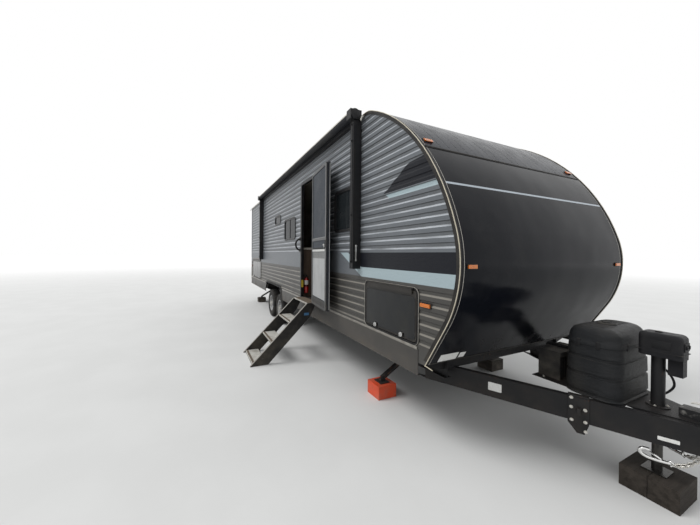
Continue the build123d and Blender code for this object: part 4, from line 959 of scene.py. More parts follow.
entry_lock = Form().blocks((
    ((leaf_x0 + 0.028, leaf_x0 + 0.085), (-1.2405, -1.233), (1.385, 1.425), 0.004, 2),
    ((leaf_x0 + 0.028, leaf_x0 + 0.085), (-1.2405, -1.233), (1.320, 1.372), 0.004, 2),
    ((leaf_x0 + 0.030, leaf_x0 + 0.100), (-1.254, -1.246), (1.335, 1.357), 0.003, 2),
    ((leaf_x0 + 0.036, leaf_x0 + 0.046), (-1.247, -1.239), (1.337, 1.355), 0.002, 2),
    ((leaf_x0 + 0.022, leaf_x0 + 0.080), (-1.1895, -1.1865), (1.325, 1.415), 0.001, 1)), door_open)
entry_lock.finished("entry_lock", black_plastic, "black_plastic", "entry_door")
panel_x, panel_z = (leaf_x0 + 0.050, leaf_x1 - 0.050), (0.515, 1.176)
screen_panel = Form().block(panel_x, (-1.1700, -1.1665), panel_z, 0.001, 1, door_open)
for number in range(9):
    x = panel_x[0] + 0.03 + number * (panel_x[1] - panel_x[0] - 0.06) / 8
    screen_panel.block(about(x, 0.006), (-1.1668, -1.1645), (panel_z[0] + 0.02, panel_z[1] - 0.02), 0.001, 1,
                       door_open)
milky = (Finish("milky_panel", (0.340, 0.345, 0.345), 0.35).blotched((0.220, 0.225, 0.228), 0.6, 5, 0.35, 0.75, 5.0)
         .blotched((0.36, 0.365, 0.36), 0.5, 55, 0.45, 0.7, 4.0, stretch=(1, 1, 0.03)))
milky.tint(milky.between(milky.z, 1.085, 1.180, 0.006), (0.060, 0.062, 0.058), 0.8)
milky.grained(0.0003, 300)
screen_panel.finished("screen_lower_panel", milky.done(), "white_plastic", "screen_door")
screen_latch = Form().blocks((
    ((leaf_x0 + 0.012, leaf_x0 + 0.044), (-1.161, -1.154), (1.225, 1.335), 0.003, 2),
    ((leaf_x0 + 0.060, leaf_x1 - 0.060), (-1.172, -1.158), (1.226, 1.236), 0.002, 1)), door_open)
screen_latch.finished("screen_latch", black_plastic, "black_plastic", "screen_door")
screen_bright = Form().blocks((
    ((leaf_x0 + 0.052, leaf_x0 + 0.104), (-1.160, -1.148), (1.262, 1.284), 0.004, 2),
    ((leaf_x0 + 0.052, leaf_x0 + 0.068), (-1.160, -1.150), (1.235, 1.262), 0.003, 2),
    ((leaf_x0 + 0.0085, leaf_x0 + 0.0125), (-1.1612, -1.1601), (0.400, 2.360), 0.0008, 1),
    ((leaf_x0 + 0.0455, leaf_x0 + 0.0490), (-1.1655, -1.1600), (0.510, 1.178), 0.0008, 1),
    (panel_x, (-1.1612, -1.1600), (1.1830, 1.2130), 0.0008, 2),
    (panel_x, (-1.1612, -1.1601), (1.3765, 1.3790), 0.0006, 1)), door_open)
screen_bright.finished("screen_bright_beads", bright_aluminium, "bright_alu", "screen_door")
leaf_edge = Form().block((leaf_x0 - 0.0008, leaf_x0 + 0.0012), (-1.2150, -1.2080), (0.400, 2.360), 0.0004, 1, door_open)
leaf_edge.finished("entry_leaf_edge_bead", bright_aluminium, "bright_alu", "entry_door")
kick_ribs = Form()
for number in range(19):
    x = leaf_x0 + 0.05 + number * 0.0358
    kick_ribs.block(about(x, 0.006), (-1.1625, -1.1595), (0.420, 0.500), 0.001, 1, door_open)
kick_ribs.finished("kick_panel_ribs", dark_trim, "black_trim", "screen_door")

# Steps. Deep welded aluminium stringers with three folded tread pans set in between them, powder-coated black, with
# gritted plates, a brown grip strip and a bright nosing; they hinge up into the doorway. The plates are pale partly for
# the sun on them (painted highlight), and the landing, which stands in shade, is left dark under its grip strip
# (painted shade).
step_material = (dark_finish("step_coat", (0.017, 0.0165, 0.016), 0.45).grained(0.0006, 600, detail=2.0)
                 .blotched((0.060, 0.054, 0.045), 0.45, 11, 0.4, 0.75, 7.0)
                 .weathered(dust=(0.15, 0.13, 0.10), most=0.35, low=-0.5, high=0.2).done())
# Painted highlight: the plates' pale colour stands partly for the sunlight on the treads.
tread_material_and_sunlight = (Finish("tread_plate_and_sunlight", (0.56, 0.55, 0.51), 0.55, 0.3).grained(0.0012, 1100, 0.35, 0.65, 2.0)
                  .blotched((0.28, 0.25, 0.21), 0.7, 9, 0.35, 0.75, 6.0).done())
step_x0, step_x1, landing_top, landing_edge, tread_rise = -4.585, -3.930, 0.367, -1.359, 0.2775
pin_y, pin_z = -1.129, 0.368


def round_pin(radius, turns):
    """Points round the hinge pin."""
    return [(pin_y + radius * cos(radians(a)), pin_z + radius * sin(radians(a))) for a in turns]


stringer_side = [(-1.115, 0.347), (-1.115, landing_top)] + round_pin(0.0096, range(-6, -175, -24))
stringer_side += [(landing_edge, landing_top), (-2.226, ground), (-1.967, ground), (-1.329, 0.138), (-1.239, 0.302),
                  (-1.239, 0.347)]
hinge_eye = round_pin(0.0150, range(0, 181, 18)) + round_pin(0.0096, range(180, -1, -18))
folding_steps, treads, grip_strips = Form(), Form(), Form()
for x0, x1 in ((-4.620, step_x0), (step_x1, -3.895)):
    folding_steps.slab(stringer_side, "yz", x0, x1).slab(hinge_eye, "yz", x0, x1)
folding_steps.block((step_x0, step_x1), (landing_edge - 0.001, -1.159), (0.347, landing_top), 0.001, 1)
tread_x, nosing_x = (step_x0 + 0.003, step_x1 - 0.003), (step_x0 + 0.002, step_x1 - 0.002)
for number in (1, 2, 3):
    top, front = landing_top - tread_rise * number, landing_edge + 0.002 - tread_rise * number
    pan = ((0, 0), (0.205, 0), (0.205, -0.030), (0.202, -0.030), (0.202, -0.003), (0.003, -0.003), (0.003, -0.030),
           (0, -0.030))
    folding_steps.slab([(front + inward, top + up) for inward, up in pan], "yz", step_x0, step_x1)
    treads.block(tread_x, (front + 0.040, front + 0.200), (top + 0.0002, top + 0.0030), 0.001, 1)
    treads.block(nosing_x, (front - 0.0008, front + 0.006), (top - 0.022, top + 0.0030), 0.001, 1)
    for bar in range(6):
        y = front + 0.056 + bar * 0.026
        treads.block((step_x0 + 0.015, step_x1 - 0.015), about(y, 0.004), (top + 0.0030, top + 0.0045),
                     0.0007, 1)
    grip_strips.block(tread_x, (front + 0.006, front + 0.040), (top + 0.0002, top + 0.0026), 0.0008, 1)
treads.block(nosing_x, (landing_edge - 0.0018, landing_edge + 0.010), (landing_top - 0.018, landing_top + 0.0030),
             0.001, 1)
steps_piece = folding_steps.finished("folding_steps", step_material, "black_trim", "steps")
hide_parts("steps")
treads.finished("step_treads", tread_material_and_sunlight, "bright_alu", "steps")
# Painted shade: the landing's top gets the dark grip strip instead of a pale plate, for the shade it stands in.
grip_strips.block((step_x0 + 0.006, step_x1 - 0.006), (landing_edge + 0.012, -1.170),
                  (landing_top + 0.0003, landing_top + 0.0026), 0.001, 1)
grip = (Finish("grip_strip", (0.125, 0.095, 0.066), 0.75).grained(0.0010, 900, detail=2.0)
        .blotched((0.080, 0.062, 0.045), 0.6, 16, 0.4, 0.75, 6.0))
grip_strips.finished("step_grip_strips", grip.done(), "black_plastic", "steps")
step_edges, step_feet = Form(), Form()
for x, out in ((-4.6025, -0.0178), (-3.9125, 0.0178)):
    line = [(x, -1.190, 0.369), (x, landing_edge - 0.001, 0.369), (x, -2.2235, -0.4955)]
    step_edges.bent(line, flat_bar(0.0165, 0.0020), 0.02, 4)
    step_feet.block(about(x, 0.024), (-2.2225, -2.060), (-0.4995, -0.492), 0.003)
    for y, z in ((-1.45, 0.20), (-2.05, -0.40)):
        step_feet.bolt((x + out, y, z), (out, 0, 0), 0.016)
blue_badge = (Finish("bare_blue_badge", (0.045, 0.150, 0.300), 0.4)
              .blotched((0.030, 0.090, 0.180), 0.5, 90, 0.4, 0.75, 5.0).grained(0.0003, 400))
badge = Form().blocks((((-3.8955, -3.8935), (-1.413, -1.333), (0.182, 0.222), 0.0008, 2),
                       ((-3.8940, -3.8932), (-1.408, -1.338), (0.187, 0.217), 0.0003, 1)))
badge.finished("bare_step_badge", blue_badge.done(), "trim", "steps")
step_edges.finished("step_stringer_edges", bright_moulding, "trim", "steps")
step_feet.finished("step_feet", black_plastic, "black_plastic", "steps")

# Hatches. Insulated leaves faced with gloss black sheet in rounded black frames, hinged at the top, each
# held by two chrome thumb latches.
hatch_face = (Finish("hatch_face", (0.020, 0.0175, 0.015), 0.35, Specular_IOR_Level=0.25)
              .grained(0.0003, 400, detail=2.0).blotched((0.05, 0.046, 0.038), 0.3, 9, 0.4, 0.8, 7.0))
clad(hatch_face, "curb_baggage_door", "street_baggage_door", "kitchen_hatch")
clad(frame_black, "hatch_frames")
chrome = (Finish("chrome_plate", (0.78, 0.78, 0.77), 0.10, 1.0)
          .blotched((0.55, 0.54, 0.52), 0.4, 60, 0.45, 0.75, 5.0).rubbed(0.22, 90, 0.4, 0.7).done())
gloss_black = (Finish("gloss_panel", (0.0075, 0.0085, 0.0095), 0.07, Specular_IOR_Level=0.3)
               .grained(0.004, 2.5, 0.2, 0.8, 2.0).blotched((0.022, 0.021, 0.016), 0.5, 7, 0.45, 0.8, 6.0)
               .rubbed(0.14, 6, 0.35, 0.75, 5.0).done())
hatches = (("curb_baggage_door", -1, (-2.350, -1.500), (0.380, 0.845)),
           ("street_baggage_door", 1, (-2.350, -1.500), (0.380, 0.845)),
           ("kitchen_hatch", -1, (-9.853, -8.453), (0.380, 0.960)))
bead_section = [(a * 0.004, b * 0.0022) for a, b in
                ((1, 0), (0.6, 0.9), (-0.6, 0.9), (-1, 0), (-0.6, -0.9), (0.6, -0.9))]
for name, side, (x0, x1), (z0, z1) in hatches:
    latches, trims, panel = Form(), Form(), Form()
    for x in (x0 + 0.210, x1 - 0.210):
        latches.turned(((0, 0.021), (0.003, 0.021), (0.004, 0.018), (0.004, 0.014), (0.0015, 0.012), (0.0015, 0)),
                       (x, side * 1.2320, z0 + 0.035), (0, side, 0), 24)
        latches.block(about(x, 0.005), (side * 1.2335, side * 1.2500), (z0 + 0.018, z0 + 0.052), 0.003)
    latches.finished(name + "_latches", chrome, "bright_alu", name)
    inner = pane((x0 + 0.026, x1 - 0.026), (z0 + 0.026, z1 - 0.064), 0.035)
    trims.bent([(a, side * 1.2228, b) for a, b in inner], bead_section, closed=True)
    trims.finished(name + "_bead", frame_material, "black_trim", name)
    panel.slab(inner, "xz", side * 1.2205, side * 1.2231)
    panel.finished(name + "_gloss_panel", gloss_black, "black_trim", name)
hatch_lips = Form()
for name, side, x, z in hatches:
    loop(hatch_lips, side * 1.2235, x, z, 0.019, 0.064, round_bar(0.0032, 6))
    if name == "kitchen_hatch":
        drip = ((1.2195, 0.026), (1.2195, 0.040), (1.245, 0.030), (1.245, 0.026))
        hatch_lips.slab([(side * out, z[1] + up) for out, up in drip], "yz", x[0] - 0.02, x[1] + 0.02, 0.001, 1)
hatch_lips.finished("hatch_frame_lips", bright_moulding, "trim")

# Awning. Two folded aluminium arms painted black, with their struts nested in them and moulded end heads; the cloth is
# rolled on its tube with a pale weather guard outermost, whose pale colour along the roll's top also stands for the
# sun's glint there: painted highlight.
arm_paint = (dark_finish("awning_arm_paint", (0.0130, 0.0135, 0.0150), 0.40).grained(0.0003, 600)
             .blotched((0.034, 0.031, 0.028), 0.5, 9, 0.4, 0.75, 6.0, stretch=(1, 1, 0.2)))
arm_material = clad(arm_paint, "awning_arms")
arm_struts, arm_straps = Form(), Form()
for x, end in ((-2.520, 1), (-8.150, -1)):
    for edge in (-0.033, 0.033):
        arm_struts.block(about(x + edge, 0.004), (-1.3225, -1.3190), (0.985, 2.685), 0.001, 1)
    arm_struts.block(about(x, 0.014), (-1.3260, -1.3192), (1.06, 2.63), 0.003)
    for z in (1.06, 1.60, 2.45, 2.64):
        arm_struts.bolt((x, -1.3262, z), (0, -1, 0), 0.018)
    arm_struts.turned(((0, 0.056), (0.004, 0.060), (0.010, 0.060), (0.014, 0.050), (0.014, 0.022), (0.018, 0.018),
                       (0.018, 0)), (x + end * 0.0502, -1.309, 2.745), (end, 0, 0), 28)
    arm_straps.block((x + end * 0.0382, x + end * 0.0415), (-1.2880, -1.2700), (1.085, 1.255), 0.0012, 1)
    arm_straps.turned(((0, 0.013), (0.004, 0.013), (0.006, 0.009), (0.009, 0.006), (0.009, 0)),
                      (x + end * 0.0415, -1.279, 1.243), (end, 0, 0), 18)
    arm_straps.block((x + end * 0.0382, x + end * 0.0460), (-1.2900, -1.2680), (1.068, 1.092), 0.003)
arm_struts.finished("awning_struts", arm_material, "black_trim")
arm_straps.finished("awning_arm_straps", bright_aluminium, "bright_alu")
roll_y, roll_z, roll_ends = -1.309, 2.765, (-8.095, -2.575)
roll_turns, turn_steps, cloth_pitch, cloth_thick, tube_radius = 11.5, 28, 0.00235, 0.0009, 0.0208


def round_roll(radius, turn):
    """Point at a distance from the roll's own axis, seen from the end."""
    return roll_y + radius * cos(turn), roll_z + radius * sin(turn)


rolled_cloth, rings, roll_steps = Form(), [], int(roll_turns * turn_steps)
for n in range(roll_steps + 1):
    turn = 2 * pi * n / turn_steps
    radius = tube_radius + cloth_pitch * turn / (2 * pi)
    within, without = (round_roll(radius + way * cloth_thick / 2, turn + 0.7) for way in (-1, 1))
    corners = [(roll_ends[0], *within), (roll_ends[1], *within), (roll_ends[1], *without), (roll_ends[0], *without)]
    rings.append([rolled_cloth.mesh.verts.new(corner) for corner in corners])
rolled_cloth.skin(rings)
flap_line = [(-1.3085, 2.8133), (-1.2900, 2.8085), (-1.2640, 2.7890), (-1.2460, 2.7630), (-1.2355, 2.7390),
             (-1.2330, 2.7230)]
rolled_cloth.slab(flap_line + [(y - 0.0007, z - 0.0007) for y, z in reversed(flap_line)], "yz", *roll_ends)
awning_cloth = (dark_finish("awning_cloth", (0.020, 0.021, 0.025), 0.70).grained(0.0004, 1300, detail=2.0)
                .grained(0.003, 2.2, 0.2, 0.8, stretch=(1, 6, 6))
                .blotched((0.09, 0.085, 0.075), 0.3, 4, 0.4, 0.75, 6.0, stretch=(0.3, 1, 1)))
cloth = rolled_cloth.finished("rolled_awning_cloth", awning_cloth.done(), "black_plastic", sharp=50)
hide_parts("awning_roller")
cloth_length = sum((tube_radius + cloth_pitch * n / turn_steps) * 2 * pi / turn_steps for n in range(roll_steps))
cloth_length += sum(hypot(y1 - y0, z1 - z0) for (y0, z0), (y1, z1) in zip(flap_line, flap_line[1:]))
awning_rail = Form()
awning_rail.slab([(-1.2195, 2.706), (-1.2345, 2.706), (-1.2365, 2.714), (-1.2290, 2.726), (-1.2195, 2.728)], "yz",
                 *roll_ends, 0.001, 1)
awning_rail.finished("awning_wall_rail", arm_material, "black_trim")
# Painted highlight: the guard's pale colour along the top of the roll stands partly for the sun's glint on the roller's
# edge.
guard_turns = [radians(114 + 6 * n) for n in range(11)]
guard_and_glint, guard_inside = Form(), [round_roll(0.0486, a) for a in guard_turns]
guard_and_glint.slab(guard_inside + [round_roll(0.0500, a) for a in reversed(guard_turns)], "yz", *roll_ends)
guard_and_glint.block(roll_ends, (-1.3545, -1.3515), (2.783, 2.787), 0.001)
guard_vinyl_and_glint = (Finish("guard_vinyl_and_glint", (0.56, 0.53, 0.47), 0.5)
               .blotched((0.42, 0.39, 0.34), 0.5, 3, 0.45, 0.8, 6.0, stretch=(0.4, 1, 1)).grained(0.0004, 500))
guard_and_glint.finished("awning_guard_and_glint", guard_vinyl_and_glint.done(), "trim")

# Rooftop. A moulded white shroud over the air conditioner with louvred sides, two crank-up vents with
# domed lids and a plumbing stack with its cap.
shroud = (Finish("shroud_plastic", (0.62, 0.62, 0.60), 0.5).grained(0.0004, 500)
          .blotched((0.45, 0.43, 0.39), 0.5, 5, 0.4, 0.75, 6.0))
shroud_material = clad(shroud, "roof_ac", "roof_vents")
ac_centre, louvres = -5.610, Form()
for side in (-1, 1):
    for row in range(7):
        z = 2.793 + row * 0.026
        y = side * (0.350 - 0.070 * (z - roof_height) / 0.300)
        for column in range(3):
            x = ac_centre + (column - 1) * 0.235
            louvres.block(about(x, 0.105), (y - side * 0.004, y + side * 0.006), (z, z + 0.009), 0.003)
louvres.finished("shroud_louvres", black_plastic, "black_plastic")
shroud_parts = Form()
shroud_parts.block((ac_centre - 0.33, ac_centre + 0.29), (-0.22, 0.22), (3.0365, 3.048), 0.006, 3)
for x in (ac_centre - 0.28, ac_centre + 0.24):
    for y in (-0.18, 0.18):
        shroud_parts.turned(((0, 0.014), (0.003, 0.013), (0.005, 0)), (x, y, 3.047), (0, 0, 1), 14)
for x in vent_places:
    for shrink, low, high in ((0.0, 2.8325, 2.840), (0.030, 2.840, 2.848), (0.085, 2.848, 2.855)):
        reach = 0.213 - shrink
        shroud_parts.block(about(x, reach), (-reach, reach), (low, high), 0.004, 3)
    shroud_parts.block(about(x, 0.09), (0.213, 0.224), (2.820, 2.834), 0.003, 2)
shroud_parts.turned(((0, 0.058), (0.006, 0.060), (0.024, 0.058), (0.030, 0.040), (0.032, 0)), (-7.4, 0.5, 2.820),
                    (0, 0, 1), 28)
shroud_parts.finished("rooftop_caps", shroud_material, "white_plastic")

# Lamps. Ribbed amber and red lenses of moulded acrylic, amber at the front and sides and red behind, each
# snapped over a thin black base that is screwed to the skin.
for name, colour, node in (("amber", (0.62, 0.16, 0.010), "amber_markers"), ("red", (0.42, 0.012, 0.010), "red_lamps")):
    lens_plastic = Finish(name + "_lens", colour, 0.14, Coat_Weight=0.4, Subsurface_Weight=0.15)
    ribs = lens_plastic.work("PINGPONG", lens_plastic.x if name == "amber" else lens_plastic.z, 0.003)
    lens_plastic.relief(lens_plastic.ramp(ribs, 0.0, 0.003), 0.0008)
    lens_plastic.blotched(tuple(c * 0.6 for c in colour), 0.5, 40, 0.45, 0.75, 5.0)
    clad(lens_plastic, node)
lamp_bases = Form()
for side in (-1, 1):
    for x0, x1 in ((-1.450, -1.340), (-10.073, -9.983)):
        lamp_bases.block((x0 - 0.008, x1 + 0.008), (side * 1.2195, side * 1.2255), (0.707, 0.753), 0.003)
        for x in (x0 - 0.003, x1 + 0.003):
            lamp_bases.turned(((0, 0.0035), (0.0015, 0.003), (0.002, 0)), (x, side * 1.2255, 0.730), (0, side, 0), 8)
    lamp_bases.block((rear_end - 0.0055, rear_end), (side * 0.892, side * 1.128), (0.492, 0.598), 0.003)
    for z in (1.062, 2.150):
        lamp_bases.block((-0.021, 0.021), (-0.053, 0.053), (-0.001, 0.005), 0.002, 2, front_place(z, side * 1.100))
for y in (-0.18, 0, 0.18):
    lamp_bases.block((rear_end - 0.004, rear_end), about(y, 0.052), (2.532, 2.574), 0.002)
lamp_bases.finished("lamp_bases", black_plastic, "black_plastic")

# Grab handle. A folding steel tube on two pressed feet, powder-coated black and screwed to the wall, with a
# soft sleeve pushed over its grip.
handle_coat = (dark_finish("handle_coat", (0.012, 0.012, 0.013), 0.34).grained(0.0003, 600)
               .blotched((0.08, 0.075, 0.07), 0.5, 25, 0.5, 0.75, 5.0))
clad(handle_coat, "grab_handle")
handle_x, sleeve = -4.725, Form()
grip_line = ((-1.2560, 1.228), (-1.2860, 1.262), (-1.3030, 1.320), (-1.2860, 1.378), (-1.2560, 1.412))
sleeve.bent([(handle_x, y, z) for y, z in grip_line], 0.0155, 0.05)
sleeve.finished("handle_sleeve", black_plastic, "black_plastic")
handle_screws = Form()
for z in (1.215, 1.425):
    for up in (-0.020, 0.020):
        handle_screws.bolt((handle_x, -1.2312, z + up), (0, -1, 0), 0.010)
handle_screws.finished("handle_screws", zinc, "bright_alu")

# Galley. Laminated board cabinet with framed doors and bent pulls just behind the doorway, under a pale
# postformed counter. A bare yellow tag hangs by the doorway's rear jamb.
cabinet_board = Finish("cabinet_board", (0.115, 0.080, 0.058), 0.5)
grain = cabinet_board.patches(26, 0.3, 0.75, 7.0, stretch=(1, 1, 0.06))
cabinet_board.tint(grain, (0.070, 0.047, 0.034), 0.8)
cabinet_board.relief(grain, 0.0004)
board_material = clad(cabinet_board, "galley_cabinet")
stone = (Finish("counter_laminate", (0.58, 0.55, 0.50), 0.3).blotched((0.36, 0.33, 0.29), 0.6, 70, 0.5, 0.65, 5.0)
         .grained(0.0002, 300))
clad(stone, "galley_counter")
galley_face, galley_doors, galley_pulls = -0.610, Form(), Form()
for number in range(3):
    x0 = -5.825 + number * 0.360
    x1 = x0 + 0.350
    left, right = (x0 + x1) / 2 - 0.06, (x0 + x1) / 2 + 0.06
    for z0, z1 in ((0.400, 0.980), (1.000, 1.200)):
        galley_doors.block((x0, x1), (galley_face, galley_face + 0.016), (z0, z1), 0.002)
        galley_doors.block((x0 + 0.05, x1 - 0.05), (galley_face + 0.016, galley_face + 0.019),
                           (z0 + 0.05, z1 - 0.05), 0.001, 1)
        galley_pulls.bent([(x, galley_face + out, z1 - 0.028) for x, out in
                           ((left, 0.016), (left, 0.042), (right, 0.042), (right, 0.016))], 0.005, 0.012)
galley_doors.block((-4.7350, -4.7305), (-1.150, -0.640), (0.36, 1.21), 0.001, 1)
galley_doors.finished("galley_doors", board_material, "cabinet")
galley_pulls.finished("galley_pulls", zinc, "bright_alu")
bare_tag = Form().block((-4.6380, -4.6365), (-1.215, -1.178), (0.54, 0.67), 0.0004, 1)
tag_paper = (Finish("bare_yellow_tag", (0.62, 0.46, 0.04), 0.5).blotched((0.48, 0.35, 0.05), 0.5, 60, 0.4, 0.7, 4.0)
             .grained(0.0002, 400))
bare_tag.finished("bare_yellow_tag", tag_paper.done(), "white_plastic")

# Fire extinguisher. A small red-lacquered steel bottle strapped upright just inside the doorway, with a black
# valve, its levers and gauge, and a bare white label.
bottle_red = (Finish("bottle_red", (0.42, 0.012, 0.010), 0.22, Coat_Weight=0.5).grained(0.0002, 300)
              .blotched((0.26, 0.012, 0.010), 0.5, 30, 0.45, 0.7, 5.0))
clad(bottle_red, "fire_extinguisher")
bottle_x, bottle_y, bottle_low = -4.690, -1.100, 0.430


def on_bottle(height, out=0.0):
    return bottle_x + out, bottle_y, bottle_low + height


valve_parts, bottle_label = Form(), Form()
valve_parts.turned(((0, 0.019), (0.020, 0.019), (0.024, 0.012), (0.034, 0.012), (0.036, 0)), on_bottle(0.285),
                   (0, 0, 1), 20)
for y0, y1, z0, z1 in ((-0.060, 0.018, 0.305, 0.313), (-0.064, 0.010, 0.324, 0.333)):
    valve_parts.block(about(bottle_x, 0.010), (bottle_y + y0, bottle_y + y1),
                      (bottle_low + z0, bottle_low + z1), 0.003)
valve_parts.rod(on_bottle(0.295), on_bottle(0.295, 0.040), 0.011, 14)
valve_parts.turned(((0, 0.0388), (0.006, 0.0400), (0.022, 0.0400), (0.028, 0.0388)), on_bottle(0.115), (0, 0, 1), 32)
valve_parts.finished("extinguisher_valve", black_plastic, "black_plastic")
bottle_label.turned(((0, 0.0383), (0.001, 0.0387), (0.080, 0.0387), (0.081, 0.0383)), on_bottle(0.150), (0, 0, 1), 36)
bottle_label.finished("extinguisher_bare_label", white_label, "white_plastic")

# Gas-bottle cover. Rotationally moulded black polythene that stands on the drawbar over the two bottles, with
# recessed bands round the body, a domed top with a hand-hole lid, and clips along the shoulder.
cover_plastic = (dark_finish("bottle_cover_plastic", (0.0125, 0.0135, 0.0150), 0.48).grained(0.0012, 260)
                 .grained(0.004, 9, 0.25, 0.8, stretch=(1, 1, 3))
                 .blotched((0.026, 0.025, 0.023), 0.6, 5, 0.35, 0.8, 6.0, stretch=(1, 1, 0.5)))
cover_plastic.dull(cover_plastic.upward(), 0.36)
cover_plastic.weathered(dust=(0.085, 0.075, 0.062), most=0.3, low=-0.1, high=0.4)
cover_material = cover_plastic.done()
cover_x, cover_low = -0.6975, 0.0992
# height above the tray, how far the ends and the sides stand in from the widest, corner radius
cover_levels = [(0.000, 0.002, 0.002, 0.118), (0.006, 0.000, 0.000, 0.118)]
for band in (0.025, 0.161, 0.289):
    cover_levels += [(band - 0.014, 0.003, 0.003, 0.115), (band - 0.009, 0.011, 0.011, 0.110),
                     (band + 0.009, 0.011, 0.011, 0.110), (band + 0.014, 0.003, 0.003, 0.115)]
cover_levels += [(0.380, 0.006, 0.006, 0.112), (0.384, 0.000, 0.000, 0.116), (0.402, 0.000, 0.000, 0.116),
                 (0.408, 0.008, 0.004, 0.110), (0.440, 0.012, 0.004, 0.106), (0.470, 0.022, 0.006, 0.100),
                 (0.492, 0.038, 0.010, 0.094), (0.505, 0.056, 0.018, 0.086), (0.5125, 0.078, 0.034, 0.072),
                 (0.5155, 0.108, 0.062, 0.050)]
bottle_cover, rings = Form(), []
for height, end_inset, side_inset, radius in cover_levels:
    taper = height * 0.022
    half_long, half_wide = 0.1825 - end_inset - taper, 0.295 - side_inset - taper
    ring = pane((cover_x - half_long, cover_x + half_long), (-half_wide, half_wide), radius, 9)
    rings.append([bottle_cover.mesh.verts.new((x, y, cover_low + height)) for x, y in ring])
bottle_cover.skin(rings)
cover = bottle_cover.finished("bottle_cover", cover_material, "black_plastic", sharp=50)
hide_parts("lp_cover")
cover_parts = Form()
cover_parts.turned(((0, 0.062), (0.004, 0.062), (0.010, 0.056), (0.011, 0.030), (0.017, 0.028), (0.018, 0)),
                   (cover_x, 0, cover_low + 0.5148), (0, 0, 1), 28)
for side in (-1, 1):
    for x in about(cover_x, 0.060):
        cover_parts.block(about(x, 0.014), (side * 0.268, side * 0.289), (0.465, 0.520), 0.006, 2)
for y in (-0.12, 0.12):
    cover_parts.block((-0.530, -0.521), about(y, 0.022), (0.465, 0.512), 0.004, 2)
for rib in range(-3, 4):
    cover_parts.block(about(cover_x, 0.062), about(rib * 0.062, 0.006),
                      (0.6120, 0.6165), 0.002, 2)
cover_parts.finished("bottle_cover_clips", black_plastic, "black_plastic")

# Battery box. A ribbed tub and lid moulded in black polypropylene, strapped down to the drawbar with webbing
# and a buckle, behind the cover.
battery_plastic = (dark_finish("battery_plastic", (0.011, 0.011, 0.012), 0.5).grained(0.0006, 420)
                   .weathered(most=0.5, low=0.0, high=0.5))
clad(battery_plastic, "battery_box")
battery_bits = Form()
for side in (-1, 1):
    for n in range(5):
        y = side * (0.03 + n * 0.031)
        for x in ((-0.9402, -0.9355), (-1.1145, -1.1098)):
            battery_bits.block(x, about(y, 0.005), (0.115, 0.290), 0.0015, 1)
battery_bits.bent([(-0.9265, 0, 0.110), (-0.9265, 0, 0.3425), (-1.1235, 0, 0.3425), (-1.1235, 0, 0.110)],
                  flat_bar(0.019, 0.0012), 0.008, 3)
battery_bits.block((-1.03, -1.02), (-0.028, 0.028), (0.3425, 0.3500), 0.002)
battery_bits.finished("battery_ribs_and_strap", black_plastic, "black_plastic")

# Tongue jack. A black steel column bolted through the drawbar plate, a greased steel ram in it, and a moulded
# head over the motor with its switch plate, work light and crank plug.
clad(frame_paint, "jack_column")
ram_steel = (Finish("ram_steel", (0.060, 0.058, 0.054), 0.30, 0.7)
             .grained(0.0003, 300, detail=2.0, stretch=(1, 1, 0.05))
             .blotched((0.028, 0.024, 0.020), 0.6, 30, 0.45, 0.75, 6.0))
clad(ram_steel, "jack_ram")
head_plastic = (dark_finish("jack_head_plastic", (0.011, 0.011, 0.013), 0.5).grained(0.0009, 650, detail=2.0)
                .blotched((0.024, 0.023, 0.022), 0.5, 12, 0.4, 0.75, 6.0))
head_plastic.dull(head_plastic.upward(), 0.42)
clad(head_plastic, "jack_head")
head_bits = Form()
head_bits.block((-0.5015, -0.2785), (-0.0765, 0.0765), (0.4920, 0.4970), 0.0018, 2)
head_bits.turned(((0, 0.019), (0.006, 0.018), (0.008, 0.012), (0.0085, 0)), (-0.410, 0, 0.6195), (0, 0, 1), 20)
head_bits.block((-0.2805, -0.2750), (-0.040, 0.040), (0.520, 0.575), 0.002)
for y in (-0.02, 0.02):
    head_bits.block((-0.2755, -0.2680), about(y, 0.008), (0.535, 0.560), 0.002)
head_bits.block((-0.4200, -0.3300), (-0.0785, -0.0745), (0.520, 0.570), 0.002)
for x, y in ((-0.480, 0.05), (-0.480, -0.05), (-0.300, 0.05), (-0.300, -0.05)):
    head_bits.turned(((0, 0.006), (0.003, 0.006), (0.003, 0.0045), (0.006, 0.0045), (0.006, 0)), (x, y, 0.4605),
                     (0, 0, -1), 12)
head_bits.finished("jack_head_details", black_plastic, "black_plastic")
jack_bolts = Form()
for turn in (0.5, 2.6, 4.7):
    jack_bolts.bolt((-0.410 + 0.047 * cos(turn), 0.047 * sin(turn), 0.1115), (0, 0, 1), 0.011)
jack_bolts.finished("jack_flange_bolts", zinc, "bright_alu")

# Coupler. A pressed steel housing over the ball socket, welded to the drawbar tip, with a zinc-plated latch
# lever and its safety pin. The chains' bright forged hooks lie under it.
coupler_paint = (dark_finish("coupler_paint", (0.014, 0.014, 0.015), 0.38).grained(0.0004, 400)
                 .blotched((0.30, 0.29, 0.27), 0.5, 26, 0.55, 0.72, 7.0)
                 .weathered(dust=(0.11, 0.09, 0.07), most=0.3, low=-0.2, high=0.2))
clad(coupler_paint, "coupler")
latch_parts = Form()
latch_parts.bent([(-0.075, 0, 0.176), (-0.110, 0, 0.203), (-0.180, 0, 0.209), (-0.255, 0, 0.195)],
                 flat_bar(0.017, 0.003), 0.03, 4)
latch_parts.rod((-0.105, -0.020, 0.178), (-0.105, 0.020, 0.178), 0.006, 12)
latch_parts.bent([(-0.135, -0.026, 0.150), (-0.135, -0.040, 0.120), (-0.135, -0.054, 0.150)], 0.0025, 0.01)
for side in (-1, 1):
    latch_parts.bolt((0.010, side * 0.0462, 0.045), (0, side, 0), 0.020)
latch_parts.finished("coupler_latch", zinc, "bright_alu")
chain_hook = Form()
